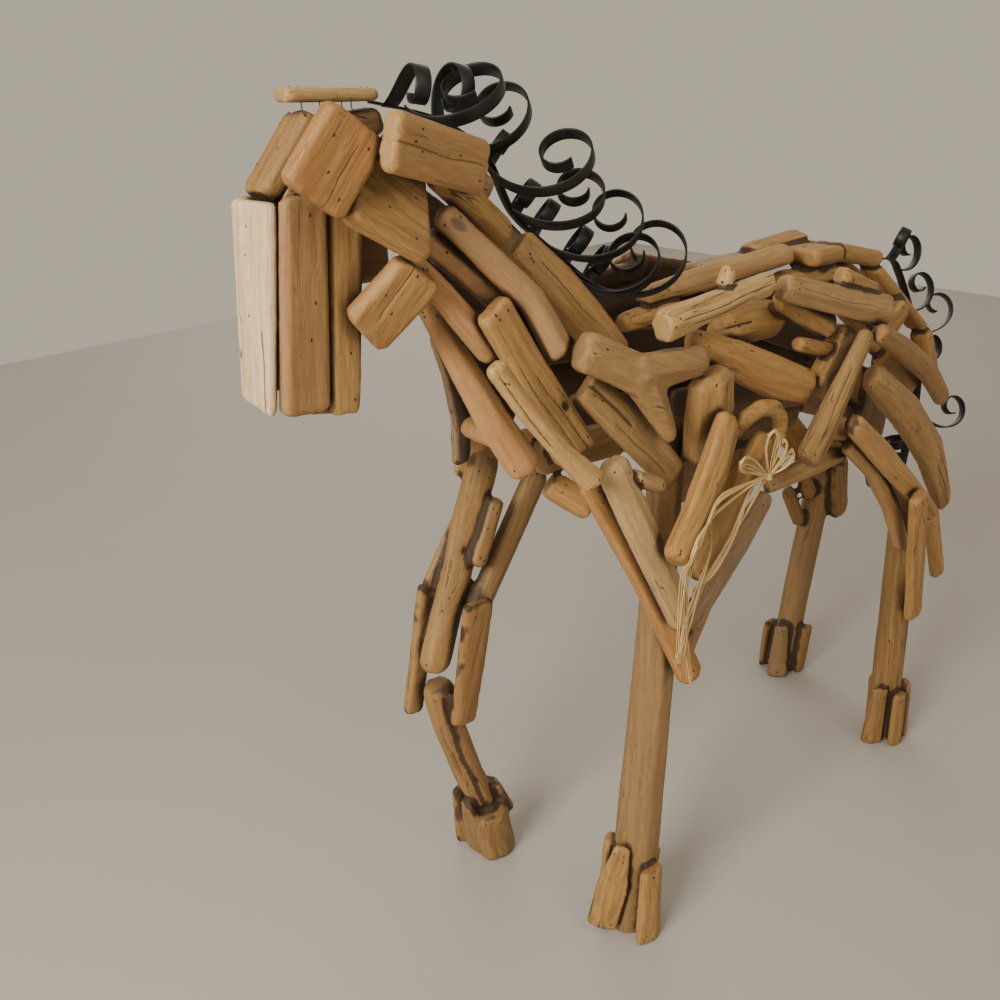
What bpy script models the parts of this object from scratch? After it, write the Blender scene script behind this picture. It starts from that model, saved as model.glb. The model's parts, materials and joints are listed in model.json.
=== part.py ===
"""A driftwood horse that stands on its four legs, nailed together from sea-worn sticks and planks.

Units are metres, with +Z up. The horse faces -X and its left flank is towards -Y. Pieces are
stated in millimetres from the ground point under the middle of the four feet, and the whole
horse then moves so that the origin is at the middle of the underside of its box.

The wood goes on as the maker nailed it: leg posts and cross sticks first, then the inner
sticks, then the outer ones. Each new piece is lifted clear of the pieces already there and
pressed back down until it meets them.
"""

import math
import random

import bpy
from mathutils import Matrix, Vector
from mathutils.bvhtree import BVHTree

MM = 0.001
STICK_CREASE = 62  # on a stick, a bend of more degrees than this keeps its edge
PLANK_CREASE = 35

# How the pieces meet.
GAP = 0.45 * MM  # clear space left between neighbouring pieces
BITE = 1.2 * MM  # how far the sticks of one fused group run into each other
STEP = 0.75 * MM  # one step of lifting or pressing
MOST_LIFT = 70  # steps a piece may be lifted
PRESS = 16  # steps a piece may be pressed down

# Directions that the broad face of a piece can look.
LEFT = Vector((0, -1, 0))
RIGHT = Vector((0, 1, 0))
FRONT = Vector((-1, 0, 0))
BACK = Vector((1, 0, 0))
TOP = Vector((0, 0, 1))
UNDER = Vector((0, 0, -1))

# Driving sizes of the horse, in millimetres.
POST = 41  # thickness of the straight leg posts
FACE_HALF = 21  # half the width of the face between its side planks
STRIP_WIDTH = 11  # black metal strip of the mane and the tail
STRIP_THICK = 1.6
TIGHTEN = 1.6  # how late in its length a curl tightens
CURL_STEP = 15  # length of curl to one flat facet
EASE = 1.35  # how much closer the stations of a curl lie towards its end
STRAW = 1.6  # one strand of the raffia bow
STRAW_ROOM = 3.6  # from the middle line of the first strand to the nearest wood
LAYER = 0.9  # how much further out each next strand lies
STRAND_STEP = 13  # length of strand between two places where it is lifted clear of the wood
KNOT = 7  # size of the knot of the bow

# Wood tones, as linear colour values.
TAN = (0.46, 0.27, 0.13)
ORANGE = (0.42, 0.22, 0.08)
PALE = (0.60, 0.45, 0.27)
PINK = (0.44, 0.26, 0.15)
GREY = (0.38, 0.28, 0.19)
BROWN = (0.28, 0.15, 0.07)
BLACK_PAINT = (0.012, 0.012, 0.012)
STRAW_TONE = (0.70, 0.58, 0.36)


def point(x, y, z):
    """A point stated in millimetres."""
    return Vector((x, y, z)) * MM


def between(values, t):
    """The value at share t of the way along evenly spaced values."""
    place = t * (len(values) - 1)
    k = min(int(place), len(values) - 2)
    return values[k] + (values[k + 1] - values[k]) * (place - k)


class Stick:
    """One piece of wood between two end points, with its broad face towards a direction.

    In its own frame Z runs from end to end, Y looks out of the broad face and X runs across
    the width. Bend shifts it sideways at its quarter points and a crown bows it outwards. Swell is
    the share of the full width at the ends and quarter points, or ends gives the two ends alone.
    Slant tilts each end cut across the width.
    """

    def __init__(self, a, b, width, thick, face=LEFT, flat=False, bend=(0, 0, 0), crown=0.0,
                 ends=(1.0, 1.0), swell=None, slant=(0.0, 0.0), worn=0.7, sides=6, foot=False, seed=0):
        self.a, self.b, self.face, self.flat = a.copy(), b.copy(), face, flat
        self.length = (b - a).length
        self.foot = foot
        chance = random.Random(seed)
        if swell is None:
            swell = [ends[0] + (ends[1] - ends[0]) * k / 4 for k in range(5)]
        self.ring_size = 8 if flat else sides
        self.verts, self.faces = self.loft(
            width * MM, thick * MM, flat, bend, crown * MM, swell, slant, worn, sides, chance)
        self.normals = self.vertex_normals()

    def ring(self, width, thick, flat, sides, chance):
        """The outline of the section: round for a stick, a chamfered oblong for a plank."""
        if flat:
            cut = min(0.28 * thick, 4 * MM)
            x, y = width / 2, thick / 2
            return [Vector((x, -y + cut, 0)), Vector((x, y - cut, 0)), Vector((x - cut, y, 0)),
                    Vector((-x + cut, y, 0)), Vector((-x, y - cut, 0)), Vector((-x, -y + cut, 0)),
                    Vector((-x + cut, -y, 0)), Vector((x - cut, -y, 0))]
        outline = []
        full = 1 / math.cos(math.pi / sides)  # so that the flat sides lie at the stated size
        for k in range(sides):
            turn = 2 * math.pi * (k + 0.5) / sides
            swell = full * (1 + chance.uniform(-0.05, 0.05))
            outline.append(Vector((width / 2 * math.cos(turn), thick / 2 * math.sin(turn), 0)) * swell)
        return outline

    def loft(self, width, thick, flat, bend, crown, swell, slant, worn, sides, chance):
        outline = self.ring(width, thick, flat, sides, chance)
        edge = min(0.3 * thick, 0.2 * self.length)
        stations = [0, edge / self.length, 1 - edge / self.length, 1]
        shaped = any(bend) or crown or len(set(swell)) > 2
        inner = 2 if shaped and self.length > 100 * MM else (1 if shaped or self.length > 90 * MM else 0)
        for k in range(inner):
            stations.append((k + 1) / (inner + 1))
        verts = []
        for t in sorted(stations):
            bow = crown * 4 * t * (1 - t)
            size = between(swell, t)
            aside = between((0, *bend, 0), t) * MM
            if not flat:
                size *= 1 + chance.uniform(-0.04, 0.04)
            if t in (0, 1):
                size *= 1 - 2 * edge * (1 - worn) / thick if flat else worn
            near_a, near_b = max(0, 1 - 3 * t), max(0, 3 * t - 2)
            for p in outline:
                tilt = p.x * (slant[0] * near_a + slant[1] * near_b)
                along = (t - 0.5) * self.length + tilt
                verts.append(Vector((p.x * size + aside, p.y * size + bow, along)))
        count, rings = len(outline), len(stations)
        faces = [tuple(reversed(range(count)))]
        for r in range(rings - 1):
            for k in range(count):
                n = (k + 1) % count
                faces.append((r * count + k, r * count + n, (r + 1) * count + n, (r + 1) * count + k))
        faces.append(tuple((rings - 1) * count + k for k in range(count)))
        return verts, faces

    def vertex_normals(self):
        normals = [Vector() for _ in self.verts]
        for face in self.faces:
            total = Vector()
            for i in range(1, len(face) - 1):
                u = self.verts[face[i]] - self.verts[face[0]]
                v = self.verts[face[i + 1]] - self.verts[face[0]]
                total += u.cross(v)
            total.normalize()
            for i in face:
                normals[i] += total
        return [n.normalized() for n in normals]

    def frame(self):
        """Where the stick lies: the matrix from its own frame to the horse's."""
        z = (self.b - self.a).normalized()
        y = (self.face - z * self.face.dot(z)).normalized()
        x = y.cross(z)
        turn = Matrix((x, y, z)).transposed().to_4x4()
        return Matrix.Translation((self.a + self.b) / 2) @ turn

    def tree(self, grow):
        lie = self.frame()
        verts = [lie @ (v + n * grow) for v, n in zip(self.verts, self.normals)]
        return BVHTree.FromPolygons(verts, self.faces)

    def corners(self):
        """Its lowest and highest corner, a little enlarged."""
        lie = self.frame()
        verts = [lie @ v for v in self.verts]
        low = Vector([min(v[i] for v in verts) - 2 * MM for i in range(3)])
        high = Vector([max(v[i] for v in verts) + 2 * MM for i in range(3)])
        return low, high


def move(sticks, distance, at_a, at_b):
    """Moves one or both ends of the sticks along the first one's face."""
    for stick in sticks:
        stick.a += sticks[0].face * distance * at_a
        stick.b += sticks[0].face * distance * at_b


class Horse:
    """The pieces laid so far, by the node that they belong to."""

    def __init__(self):
        self.laid = []
        self.nodes = {}
        self.tones = {}

    def contacts(self, node, stick):
        """How far along the stick, from -1 to 1, it runs into what lies there already."""
        low, high = stick.corners()
        lie = stick.frame()
        trees = {}
        places = []
        for owner, tree, low_there, high_there in self.laid:
            if any(high[i] < low_there[i] or low[i] > high_there[i] for i in range(3)):
                continue
            grow = -BITE if owner == node else GAP
            if grow not in trees:
                trees[grow] = stick.tree(grow)
            for mine, _ in trees[grow].overlap(tree):
                middle = sum((stick.verts[i] for i in stick.faces[mine]), Vector())
                places.append(middle.z / len(stick.faces[mine]) / (stick.length / 2))
        return places

    def settle(self, node, sticks):
        """Lifts the sticks along their face until clear, then presses them down until they meet.

        One stick may tip, because the end that touches is lifted first; a forked piece moves whole.
        """
        tip = len(sticks) == 1
        for _ in range(MOST_LIFT):
            places = [place for stick in sticks for place in self.contacts(node, stick)]
            if not places:
                break
            middle = sum(places) / len(places)
            move(sticks, STEP, not tip or middle < 0.3, not tip or middle > -0.3)
        for at_a, at_b in ((True, True), (True, False), (False, True)) if tip else ((True, True),):
            for step in range(PRESS):
                move(sticks, -STEP, at_a, at_b)
                if any(self.contacts(node, stick) for stick in sticks):
                    move(sticks, STEP, at_a, at_b)
                    break
            else:
                move(sticks, STEP * PRESS, at_a, at_b)

    def join(self, node, stick):
        """Slides a stick of a fused group sideways until it bites into the group."""
        mine = stick.tree(0)
        group = [tree for owner, tree, _, _ in self.laid if owner == node]
        if not group or any(mine.overlap(tree) for tree in group):
            return
        lie = stick.frame()
        pairs = []
        for v in stick.verts:
            for tree in group:
                there, _, _, distance = tree.find_nearest(lie @ v)
                pairs.append((distance, (lie @ v)[:], there[:]))
        distance, here, there = min(pairs)
        slide = (Vector(there) - Vector(here)) * (1 + 2 * BITE / max(distance, BITE))
        stick.a += slide
        stick.b += slide

    def lay(self, node, *sticks, tone=TAN, hold=False):
        """Adds sticks that move as one to a node, shifted only as far as their neighbours need."""
        if not hold:
            self.settle(node, sticks)
            if node in self.nodes:
                self.join(node, sticks[0])
        for stick in sticks:
            low, high = stick.corners()
            self.laid.append((node, stick.tree(0), low, high))
        self.nodes.setdefault(node, []).extend(sticks)
        self.tones.setdefault(node, tone)


def wood_material(name, tone):
    """The bare wood of one piece."""
    material = bpy.data.materials.new(name)
    material.use_nodes = True
    shader = material.node_tree.nodes["Principled BSDF"]
    shader.inputs["Base Color"].default_value = (*tone, 1)
    shader.inputs["Roughness"].default_value = 0.72
    shader.inputs["Metallic"].default_value = 0
    return material


def paint_material(name):
    """Black paint on thin steel strip."""
    material = wood_material(name, BLACK_PAINT)
    shader = material.node_tree.nodes["Principled BSDF"]
    shader.inputs["Roughness"].default_value = 0.38
    return material


def new_object(name, verts, faces, parent):
    mesh = bpy.data.meshes.new(name)
    mesh.from_pydata([tuple(v) for v in verts], [], faces)
    mesh.update()
    item = bpy.data.objects.new(name, mesh)
    bpy.context.scene.collection.objects.link(item)
    item.parent = parent
    return item


def fuse(name, items):
    """Makes one closed body of objects that run into each other."""
    first, rest = items[0], items[1:]
    for other in rest:
        union = first.modifiers.new("union", "BOOLEAN")
        union.operation = "UNION"
        union.solver = "EXACT"
        union.object = other
    graph = bpy.context.evaluated_depsgraph_get()
    fused = bpy.data.meshes.new_from_object(first.evaluated_get(graph))
    first.modifiers.clear()
    first.data = fused
    for other in rest:
        bpy.data.objects.remove(other)
    first.name = name
    return first


def stick_object(name, stick, parent):
    """One stick as an object, placed by its own matrix; a foot is cut level with the ground."""
    lie = stick.frame()
    verts = stick.verts
    if stick.foot:
        back = lie.inverted()
        down = (stick.b - stick.a).normalized()
        level = []
        for k, v in enumerate(verts):
            world = lie @ v
            if k >= len(verts) - stick.ring_size or world.z < 0:
                world -= down * (world.z / down.z)
            level.append(back @ world)
        verts = level
    item = new_object(name, verts, stick.faces, parent)
    item.matrix_basis = lie
    return item


# ---------------------------------------------------------------- the pieces, region by region
#
# A row is: node, one end, other end, width, thickness, what else shapes the stick, in millimetres.


def lay_rows(horse, rows, seed, tone=TAN, face=LEFT):
    """Lays a list of rows in order."""
    for k, (node, a, b, width, thick, more) in enumerate(rows):
        shape = {"face": face, "seed": seed + k, **more}
        colour = shape.pop("tone", tone)
        hold = shape.pop("hold", False)
        horse.lay(node, Stick(point(*a), point(*b), width, thick, **shape), tone=colour, hold=hold)


def lay_fork(horse, node, rows, seed, tone=TAN):
    """Lays a forked piece: several lengths that grew as one, and move as one."""
    limbs = [Stick(point(*a), point(*b), width, thick, seed=seed + k, **more)
             for k, (a, b, width, thick, more) in enumerate(rows)]
    horse.lay(node, *limbs, tone=tone)


def lay_leg_posts(horse):
    """Four posts with the short chips nailed round their feet, all cut level with the ground."""
    foot = {"foot": True, "worn": 0.9}
    post = {"foot": True, "worn": 1.0, "hold": True, "sides": 8}
    lay_rows(horse, [
        ("left_fore_post", (-183, -88, 362), (-221, -86, 0), POST, POST, {**post, "ends": (0.9, 1.0)}),
        ("left_fore_post", (-243, -97, 105), (-260, -84, 11), 31, 13,
         {"face": Vector((-0.8, -0.6, 0)), "swell": (0.45, 0.85, 1.0, 1.0, 0.9), "worn": 0.9}),
        ("left_fore_post", (-220, -112, 82), (-226, -114, 0), 31, 15, {**foot, "ends": (0.85, 1.0)}),
        ("left_fore_post", (-233, -62, 96), (-243, -57, 0), 25, 11,
         {**foot, "face": Vector((-0.6, 0.8, 0))}),
        ("left_fore_post", (-197, -84, 76), (-199, -82, 0), 22, 10, {**foot, "face": BACK}),
        ("right_fore_cannon", (-313, 88, 238), (-255, 92, 56), 31, 29,
         {"hold": True, "bend": (-4.5, -6, -4.5), "worn": 0.8, "ends": (0.95, 0.9)}),
        ("right_fore_cannon", (-284, 84, 84), (-270, 102, 0), 36, 18,
         {**foot, "face": FRONT, "swell": (0.5, 0.72, 0.88, 1.0, 1.0)}),
        ("right_fore_cannon", (-259, 77, 64), (-249, 82, 0), 41, 26,
         {**foot, "hold": True, "ends": (0.85, 1.0)}),
        ("right_fore_cannon", (-231, 92, 98), (-211, 90, 54), 28, 12, {"face": BACK, "worn": 0.9}),
        ("right_fore_cannon", (-268, 112, 78), (-262, 116, 0), 24, 12, {**foot, "face": RIGHT}),
        ("left_hind_post", (235, -86, 332), (241, -82, 0), 34, 33, post),
        ("left_hind_post", (220, -86, 78), (216, -82, 0), 26, 12,
         {**foot, "face": Vector((-0.8, -0.6, 0)), "ends": (0.7, 1.0)}),
        ("left_hind_post", (232, -106, 72), (232, -106, 0), 20, 12, foot),
        ("left_hind_post", (254, -98, 76), (256, -98, 0), 20, 11, {**foot, "face": Vector((0.8, -0.6, 0))}),
        ("left_hind_post", (250, -66, 70), (252, -62, 0), 20, 11, {**foot, "face": RIGHT}),
        ("right_hind_post", (328, 79, 345), (277, 98, 0), 34, 33, post),
        ("right_hind_post", (267, 92, 76), (261, 92, 0), 28, 12,
         {**foot, "face": Vector((-0.8, -0.6, 0)), "ends": (0.7, 1.0)}),
        ("right_hind_post", (295, 80, 70), (289, 80, 0), 20, 12, foot),
        ("right_hind_post", (301, 106, 72), (297, 108, 0), 20, 11, {**foot, "face": BACK}),
        ("right_hind_post", (275, 114, 70), (271, 118, 0), 24, 11, {**foot, "face": RIGHT}),
    ], 10)


def lay_face(horse):
    """The face: a centre board with planks nailed on its front and its sides."""
    flat = {"flat": True}
    wide = 2 * FACE_HALF - 1
    lay_rows(horse, [
        ("inner_face_plank", (-430, 0, 768), (-468, 0, 577), 30, wide,
         {**flat, "face": RIGHT, "tone": BROWN, "hold": True}),
        ("nose_bridge_plank", (-499, -6, 730), (-514, -7, 591), 51, 10,
         {**flat, "face": FRONT, "tone": PALE, "hold": True, "ends": (1.0, 0.78), "slant": (0, 0.12)}),
        ("forehead_plank", (-452, -2, 779), (-492, -2, 731), 37, 17,
         {**flat, "face": Vector((-0.86, 0.14, 0.49)), "hold": True}),
        ("left_nose_plank", (-479, -28, 733), (-491, -28, 586), 36, 12,
         {**flat, "ends": (0.95, 1.05), "worn": 0.6, "tone": ORANGE}),
        ("left_muzzle_plank", (-446, -28, 726), (-458, -28, 578), 28, 13, {**flat, "ends": (1.1, 0.85)}),
        ("inner_face_plank", (-440, 0, 768), (-392, 0, 772), 20, 20,
         {**flat, "face": RIGHT, "hold": True}),
        ("inner_face_plank", (-448, 0, 690), (-396, 0, 688), 54, 20,
         {**flat, "face": RIGHT, "hold": True}),
    ], 100)
    lay_rows(horse, [
        ("right_head_planks", (-474, 28, 728), (-488, 28, 590), 36, 12, flat),
        ("right_head_planks", (-440, 28, 726), (-454, 28, 584), 32, 12, flat),
        ("right_head_planks", (-434, 42, 648), (-396, 42, 690), 42, 15, {**flat, "slant": (-0.2, 0)}),
        ("right_head_planks", (-418, 54, 700), (-404, 48, 768), 60, 15, {**flat, "slant": (-0.4, 0)}),
        ("right_head_planks", (-436, 40, 736), (-382, 40, 768), 36, 13, flat),
    ], 120, face=RIGHT)


def lay_neck(horse):
    """The neck: long sticks fanning from the head down to the breast, shoulder and crest."""
    lay_rows(horse, [
        ("right_neck_sticks", (-386, 2, 757), (-294, 2, 714), 26, 20,
         {"flat": True, "face": TOP, "hold": True, "tone": GREY}),
        ("right_neck_sticks", (-302, 8, 702), (-176, 10, 590), 26, 18,
         {"flat": True, "face": TOP, "hold": True}),
        ("right_neck_sticks", (-380, 36, 730), (-290, 38, 668), 26, 17, {"face": RIGHT}),
        ("right_neck_sticks", (-362, 52, 700), (-250, 62, 574), 30, 18,
         {"face": RIGHT, "bend": (4.5, 6, 4.5)}),
        ("right_neck_sticks", (-340, 56, 660), (-262, 66, 520), 28, 18,
         {"face": RIGHT, "bend": (-4.5, -6, -4.5)}),
        ("right_neck_sticks", (-310, 76, 640), (-226, 84, 556), 34, 17, {"face": RIGHT}),
    ], 230)
    lay_rows(horse, [
        ("left_nape_stick", (-391, -56, 740), (-312, -40, 685), 22, 16,
         {"swell": (0.83, 0.93, 1.01, 1.03, 1.00), "bend": (1, 2, 1)}),
        ("left_crest_plank", (-296, -34, 676), (-206, -54, 569), 34, 15,
         {"flat": True, "swell": (0.85, 1.01, 1.05, 1.05, 0.99), "bend": (2, 3, 2)}),
        ("right_breast_stick", (-292, 83, 586), (-279, 74, 462), 19, 17,
         {"face": RIGHT, "tone": GREY, "swell": (0.86, 0.92, 0.98, 1.05, 1.02), "bend": (-6, -11, -10)}),
        ("left_throat_sticks", (-381, -24, 652), (-310, -56, 499), 27, 19,
         {"tone": PINK, "swell": (0.63, 0.75, 0.85, 1.00, 1.15), "bend": (-2, -4, -4)}),
        ("left_throat_sticks", (-378, -14, 649), (-357, -24, 594), 13, 11,
         {"hold": True, "face": FRONT, "tone": PINK, "swell": (0.97, 1.00, 1.03, 1.03, 1.04)}),
        ("left_throat_sticks", (-318, 12, 524), (-312, -46, 518), 17, 17, {"worn": 0.9, "hold": True}),
        ("breast_cross_bar", (-284, -36, 500), (-178, -34, 490), 32, 20, {"hold": True}),
        ("breast_cross_bar", (-270, -36, 471), (-244, -60, 447), 25, 25, {"worn": 0.9, "face": UNDER}),
        ("breast_cross_bar", (-275, -8, 509), (-270, -62, 501), 16, 16, {"worn": 0.9, "hold": True}),
        ("left_neck_middle_stick", (-392, -44, 696), (-299, -60, 605), 22, 15,
         {"tone": ORANGE, "swell": (0.9, 0.95, 1.00, 1.01, 0.93), "bend": (2, 5, 4)}),
        ("left_throat_bend_stick", (-407, -52, 681), (-346, -60, 602), 21, 16,
         {"tone": PINK, "swell": (0.77, 0.89, 1.09, 1.04, 0.94), "bend": (1, 2, 2)}),
        ("knot_stick", (-385, -62, 714), (-294, -82, 597), 23, 16,
         {"tone": PINK, "swell": (0.88, 0.92, 0.86, 1.03, 1.08), "bend": (3, 8, 11)}),
        ("cracked_breast_plank", (-357, -84, 644), (-276, -90, 514), 32, 15,
         {"flat": True, "slant": (0, 0.3), "swell": (0.95, 0.95, 0.93, 0.96, 1.0), "bend": (-1, -2, 0)}),
        ("pale_breast_slat", (-386, -108, 614), (-304, -125, 506), 18, 14,
         {"tone": PALE, "swell": (0.8, 0.81, 0.8, 0.81, 1.14), "bend": (-3, -5, -3)}),
        ("split_shoulder_board", (-268, -78, 566), (-181, -98, 469), 32, 14,
         {"flat": True, "swell": (0.9, 0.99, 1.03, 0.99, 0.88), "bend": (1, 2, 1)}),
    ], 203)


def lay_head_sides(horse):
    """The planks that close the head over the tops of the neck sticks."""
    flat = {"flat": True}
    lay_rows(horse, [
        ("left_jowl_plank", (-450, -44, 635), (-412, -46, 681), 42, 16, {**flat, "slant": (0.15, 0)}),
        ("left_cheek_plank", (-445, -60, 700), (-425, -54, 754), 66, 15,
         {**flat, "slant": (0.2, -0.1), "ends": (1.05, 0.92)}),
        ("left_temple_plank", (-498, -52, 735), (-464, -60, 780), 50, 14, {**flat, "tone": ORANGE}),
        ("left_nape_plank", (-455, -74, 769), (-350, -56, 739), 38, 14, {**flat, "worn": 0.6}),
        ("poll_plank", (-470, -2, 794), (-399, -2, 790), 30, 10,
         {**flat, "hold": True, "face": TOP, "tone": PALE, "ends": (1.0, 0.85), "slant": (0.2, 0)}),
    ], 105)


def lay_barrel(horse):
    """Back, flanks and rump, from the inner sticks out to the ones that cross over them."""
    lay_rows(horse, [
        ("ridge_sticks", (-176, -28, 589), (-106, -34, 596), 22, 18,
         {"swell": (0.88, 0.97, 1.05, 1.02, 0.99)}),
        ("ridge_sticks", (-153, -19, 628), (50, -25, 637), 24, 20,
         {"swell": (0.81, 0.98, 1.03, 1.03, 1.00)}),
    ], 301, face=TOP)
    lay_rows(horse, [
        ("split_end_log", (-98, -72, 575), (-2, -64, 570), 34, 30, {}),
        ("split_end_log", (-26, -80, 596), (52, -85, 553), 25, 20, {}),
        ("belly_slat", (-37, -88, 414), (94, -88, 416), 19, 15,
         {"tone": PALE, "swell": (0.77, 0.92, 1.06, 1.04, 1.01), "bend": (0, 1, 0)}),
    ], 320)
    lay_fork(horse, "flank_stub_branch", [
        ((82, -88, 545), (26, -96, 496), 31, 28,
         {"ends": (0.98, 1.04)}),
        ((51, -92, 532), (-13, -96, 552), 14, 13,
         {"ends": (1.05, 1.02)})], 323)
    lay_rows(horse, [
        ("smooth_flank_log", (-160, -91, 585), (14, -97, 505), 37, 22,
         {"worn": 0.6, "swell": (0.54, 0.91, 1.12, 1.08, 0.85), "bend": (-1, -3, -4)}),
    ], 326)
    lay_fork(horse, "sawn_wither_branch", [
        ((-214, -109, 608), (-78, -111, 621), 27, 22,
         {"worn": 0.9, "ends": (0.98, 0.78)}),
        ((-138, -109, 625), (-128, -107, 641), 15, 14,
         {"ends": (1.06, 0.89)})], 327, PALE)
    lay_fork(horse, "left_croup_plank", [
        ((-50, -99, 611), (114, -103, 561), 27, 22,
         {"worn": 0.85, "ends": (0.82, 1.22)}),
        ((36, -99, 607), (99, -100, 581), 20, 18,
         {"ends": (0.96, 0.85)})], 329)
    lay_rows(horse, [
        ("left_elbow_plank", (-149, -107, 558), (-133, -92, 472), 45, 27,
         {"swell": (0.85, 0.99, 1.04, 1.01, 0.91), "bend": (2, 3, 2)}),
        ("dark_elbow_slat", (-121, -96, 455), (-160, -106, 417), 24, 17,
         {"tone": ORANGE, "swell": (0.95, 1.00, 1.02, 1.01, 0.93), "bend": (-2, -3, -2)}),
    ], 331)
    lay_fork(horse, "forked_shoulder_piece", [
        ((-291, -102, 603), (-224, -113, 567), 32, 24,
         {"worn": 0.85, "ends": (0.95, 1.06)}),
        ((-246, -113, 574), (-158, -115, 571), 32, 24,
         {"ends": (1.05, 0.72)}),
        ((-230, -113, 568), (-202, -119, 511), 32, 20,
         {"ends": (1.1, 0.4)})], 333)
    lay_rows(horse, [
        ("left_stifle_sticks", (68, -104, 435), (213, -97, 274), 21, 18,
         {"swell": (0.93, 0.99, 1.03, 1.03, 0.97), "bend": (13, 15, 11)}),
        ("left_stifle_sticks", (71, -88, 462), (61, -97, 441), 27, 23,
         {"swell": (0.94, 0.98, 1.02, 1.00, 0.98), "bend": (1, 1, 1)}),
        ("long_thigh_stick", (99, -108, 501), (326, -84, 286), 38, 25,
         {"swell": (0.72, 0.98, 1.11, 0.92, 0.7), "bend": (12, 23, 18)}),
        ("inner_thigh_stick", (39, -107, 471), (237, -111, 309), 26, 19,
         {"swell": (0.89, 1.00, 1.03, 1.01, 0.8), "bend": (2, 2, 1)}),
        ("buttock_stick", (77, -114, 551), (350, -60, 406), 24, 18,
         {"swell": (0.78, 0.91, 1.01, 1.06, 0.99), "bend": (6, 10, 10)}),
        ("diagonal_flank_stick", (71, -107, 552), (-25, -115, 446), 29, 20,
         {"swell": (0.67, 0.75, 0.88, 1.02, 1.14), "bend": (-1, 0, 1)}),
    ], 336)
    hook = [(-116, -114, 496), (-106, -116, 506), (-88, -118, 512), (-68, -118, 508),
            (-54, -116, 494), (-50, -113, 478), (-56, -111, 466)]
    reach = 3 * MM
    limbs = []
    for k, (a, b) in enumerate(zip(hook, hook[1:])):
        a, b = point(*a), point(*b)
        over = (b - a).normalized() * reach
        limbs.append(Stick(a - over, b + over, 15, 13, worn=0.85, seed=360 + k))
    horse.lay("flank_hook", *limbs)
    lay_rows(horse, [
        ("rump_top_blocks", (41, -29, 590), (129, -35, 589), 23, 21, {"hold": True}),
        ("rump_top_blocks", (72, -34, 612), (126, -32, 606), 44, 18, {"flat": True}),
        ("rump_top_blocks", (40, 5, 618), (124, 5, 619), 38, 18, {"ends": (0.7, 1.0), "hold": True}),
        ("rump_top_blocks", (-40, 6, 610), (48, 8, 610), 30, 12, {"flat": True, "hold": True}),
        ("rump_top_blocks", (118, 8, 612), (198, 6, 594), 38, 15, {"flat": True, "hold": True}),
        ("rump_top_blocks", (118, -32, 612), (206, -32, 590), 34, 18, {"flat": True, "hold": True}),
        ("rump_top_blocks", (212, -34, 574), (326, -34, 486), 26, 12, {"flat": True}),
        ("rump_top_blocks", (206, 10, 578), (346, 12, 500), 34, 12, {"flat": True}),
    ], 376, face=TOP)
    lay_rows(horse, [
        ("rump_top_blocks", (324, -36, 494), (346, -36, 436), 26, 20, {}),
        ("rump_top_blocks", (186, 44, 582), (334, 48, 470), 36, 16, {"face": TOP}),
        ("rump_top_blocks", (236, -58, 512), (175, -62, 472), 26, 20, {"face": LEFT}),
        ("rump_top_blocks", (200, -56, 496), (286, -48, 434), 36, 18, {"face": LEFT, "hold": True}),
    ], 386, face=BACK)
    lay_rows(horse, [
        ("inner_flank_sticks", (70, 16, 548), (250, 18, 470), 44, 20, {"hold": True}),
        ("inner_flank_sticks", (140, 30, 505), (342, 34, 396), 44, 20, {"hold": True}),
        ("inner_flank_sticks", (-60, 18, 470), (236, 22, 440), 46, 20, {"hold": True}),
        ("inner_flank_sticks", (338, 14, 474), (312, 14, 345), 46, 22, {"hold": True}),
        ("inner_flank_sticks", (45, 36, 508), (205, 36, 486), 38, 16, {"hold": True}),
        ("inner_flank_sticks", (190, 42, 430), (345, 46, 372), 44, 16, {"hold": True}),
        ("inner_flank_sticks", (-130, 34, 548), (62, 34, 512), 42, 16, {"hold": True}),
        ("inner_flank_sticks", (-185, 30, 496), (-45, 26, 468), 42, 16, {"hold": True}),
        ("inner_flank_sticks", (-30, 38, 428), (196, 42, 412), 44, 16, {"hold": True}),
        ("inner_flank_sticks", (-58, 34, 386), (108, 38, 364), 54, 16, {"hold": True}),
    ], 390, tone=BROWN, face=RIGHT)


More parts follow.
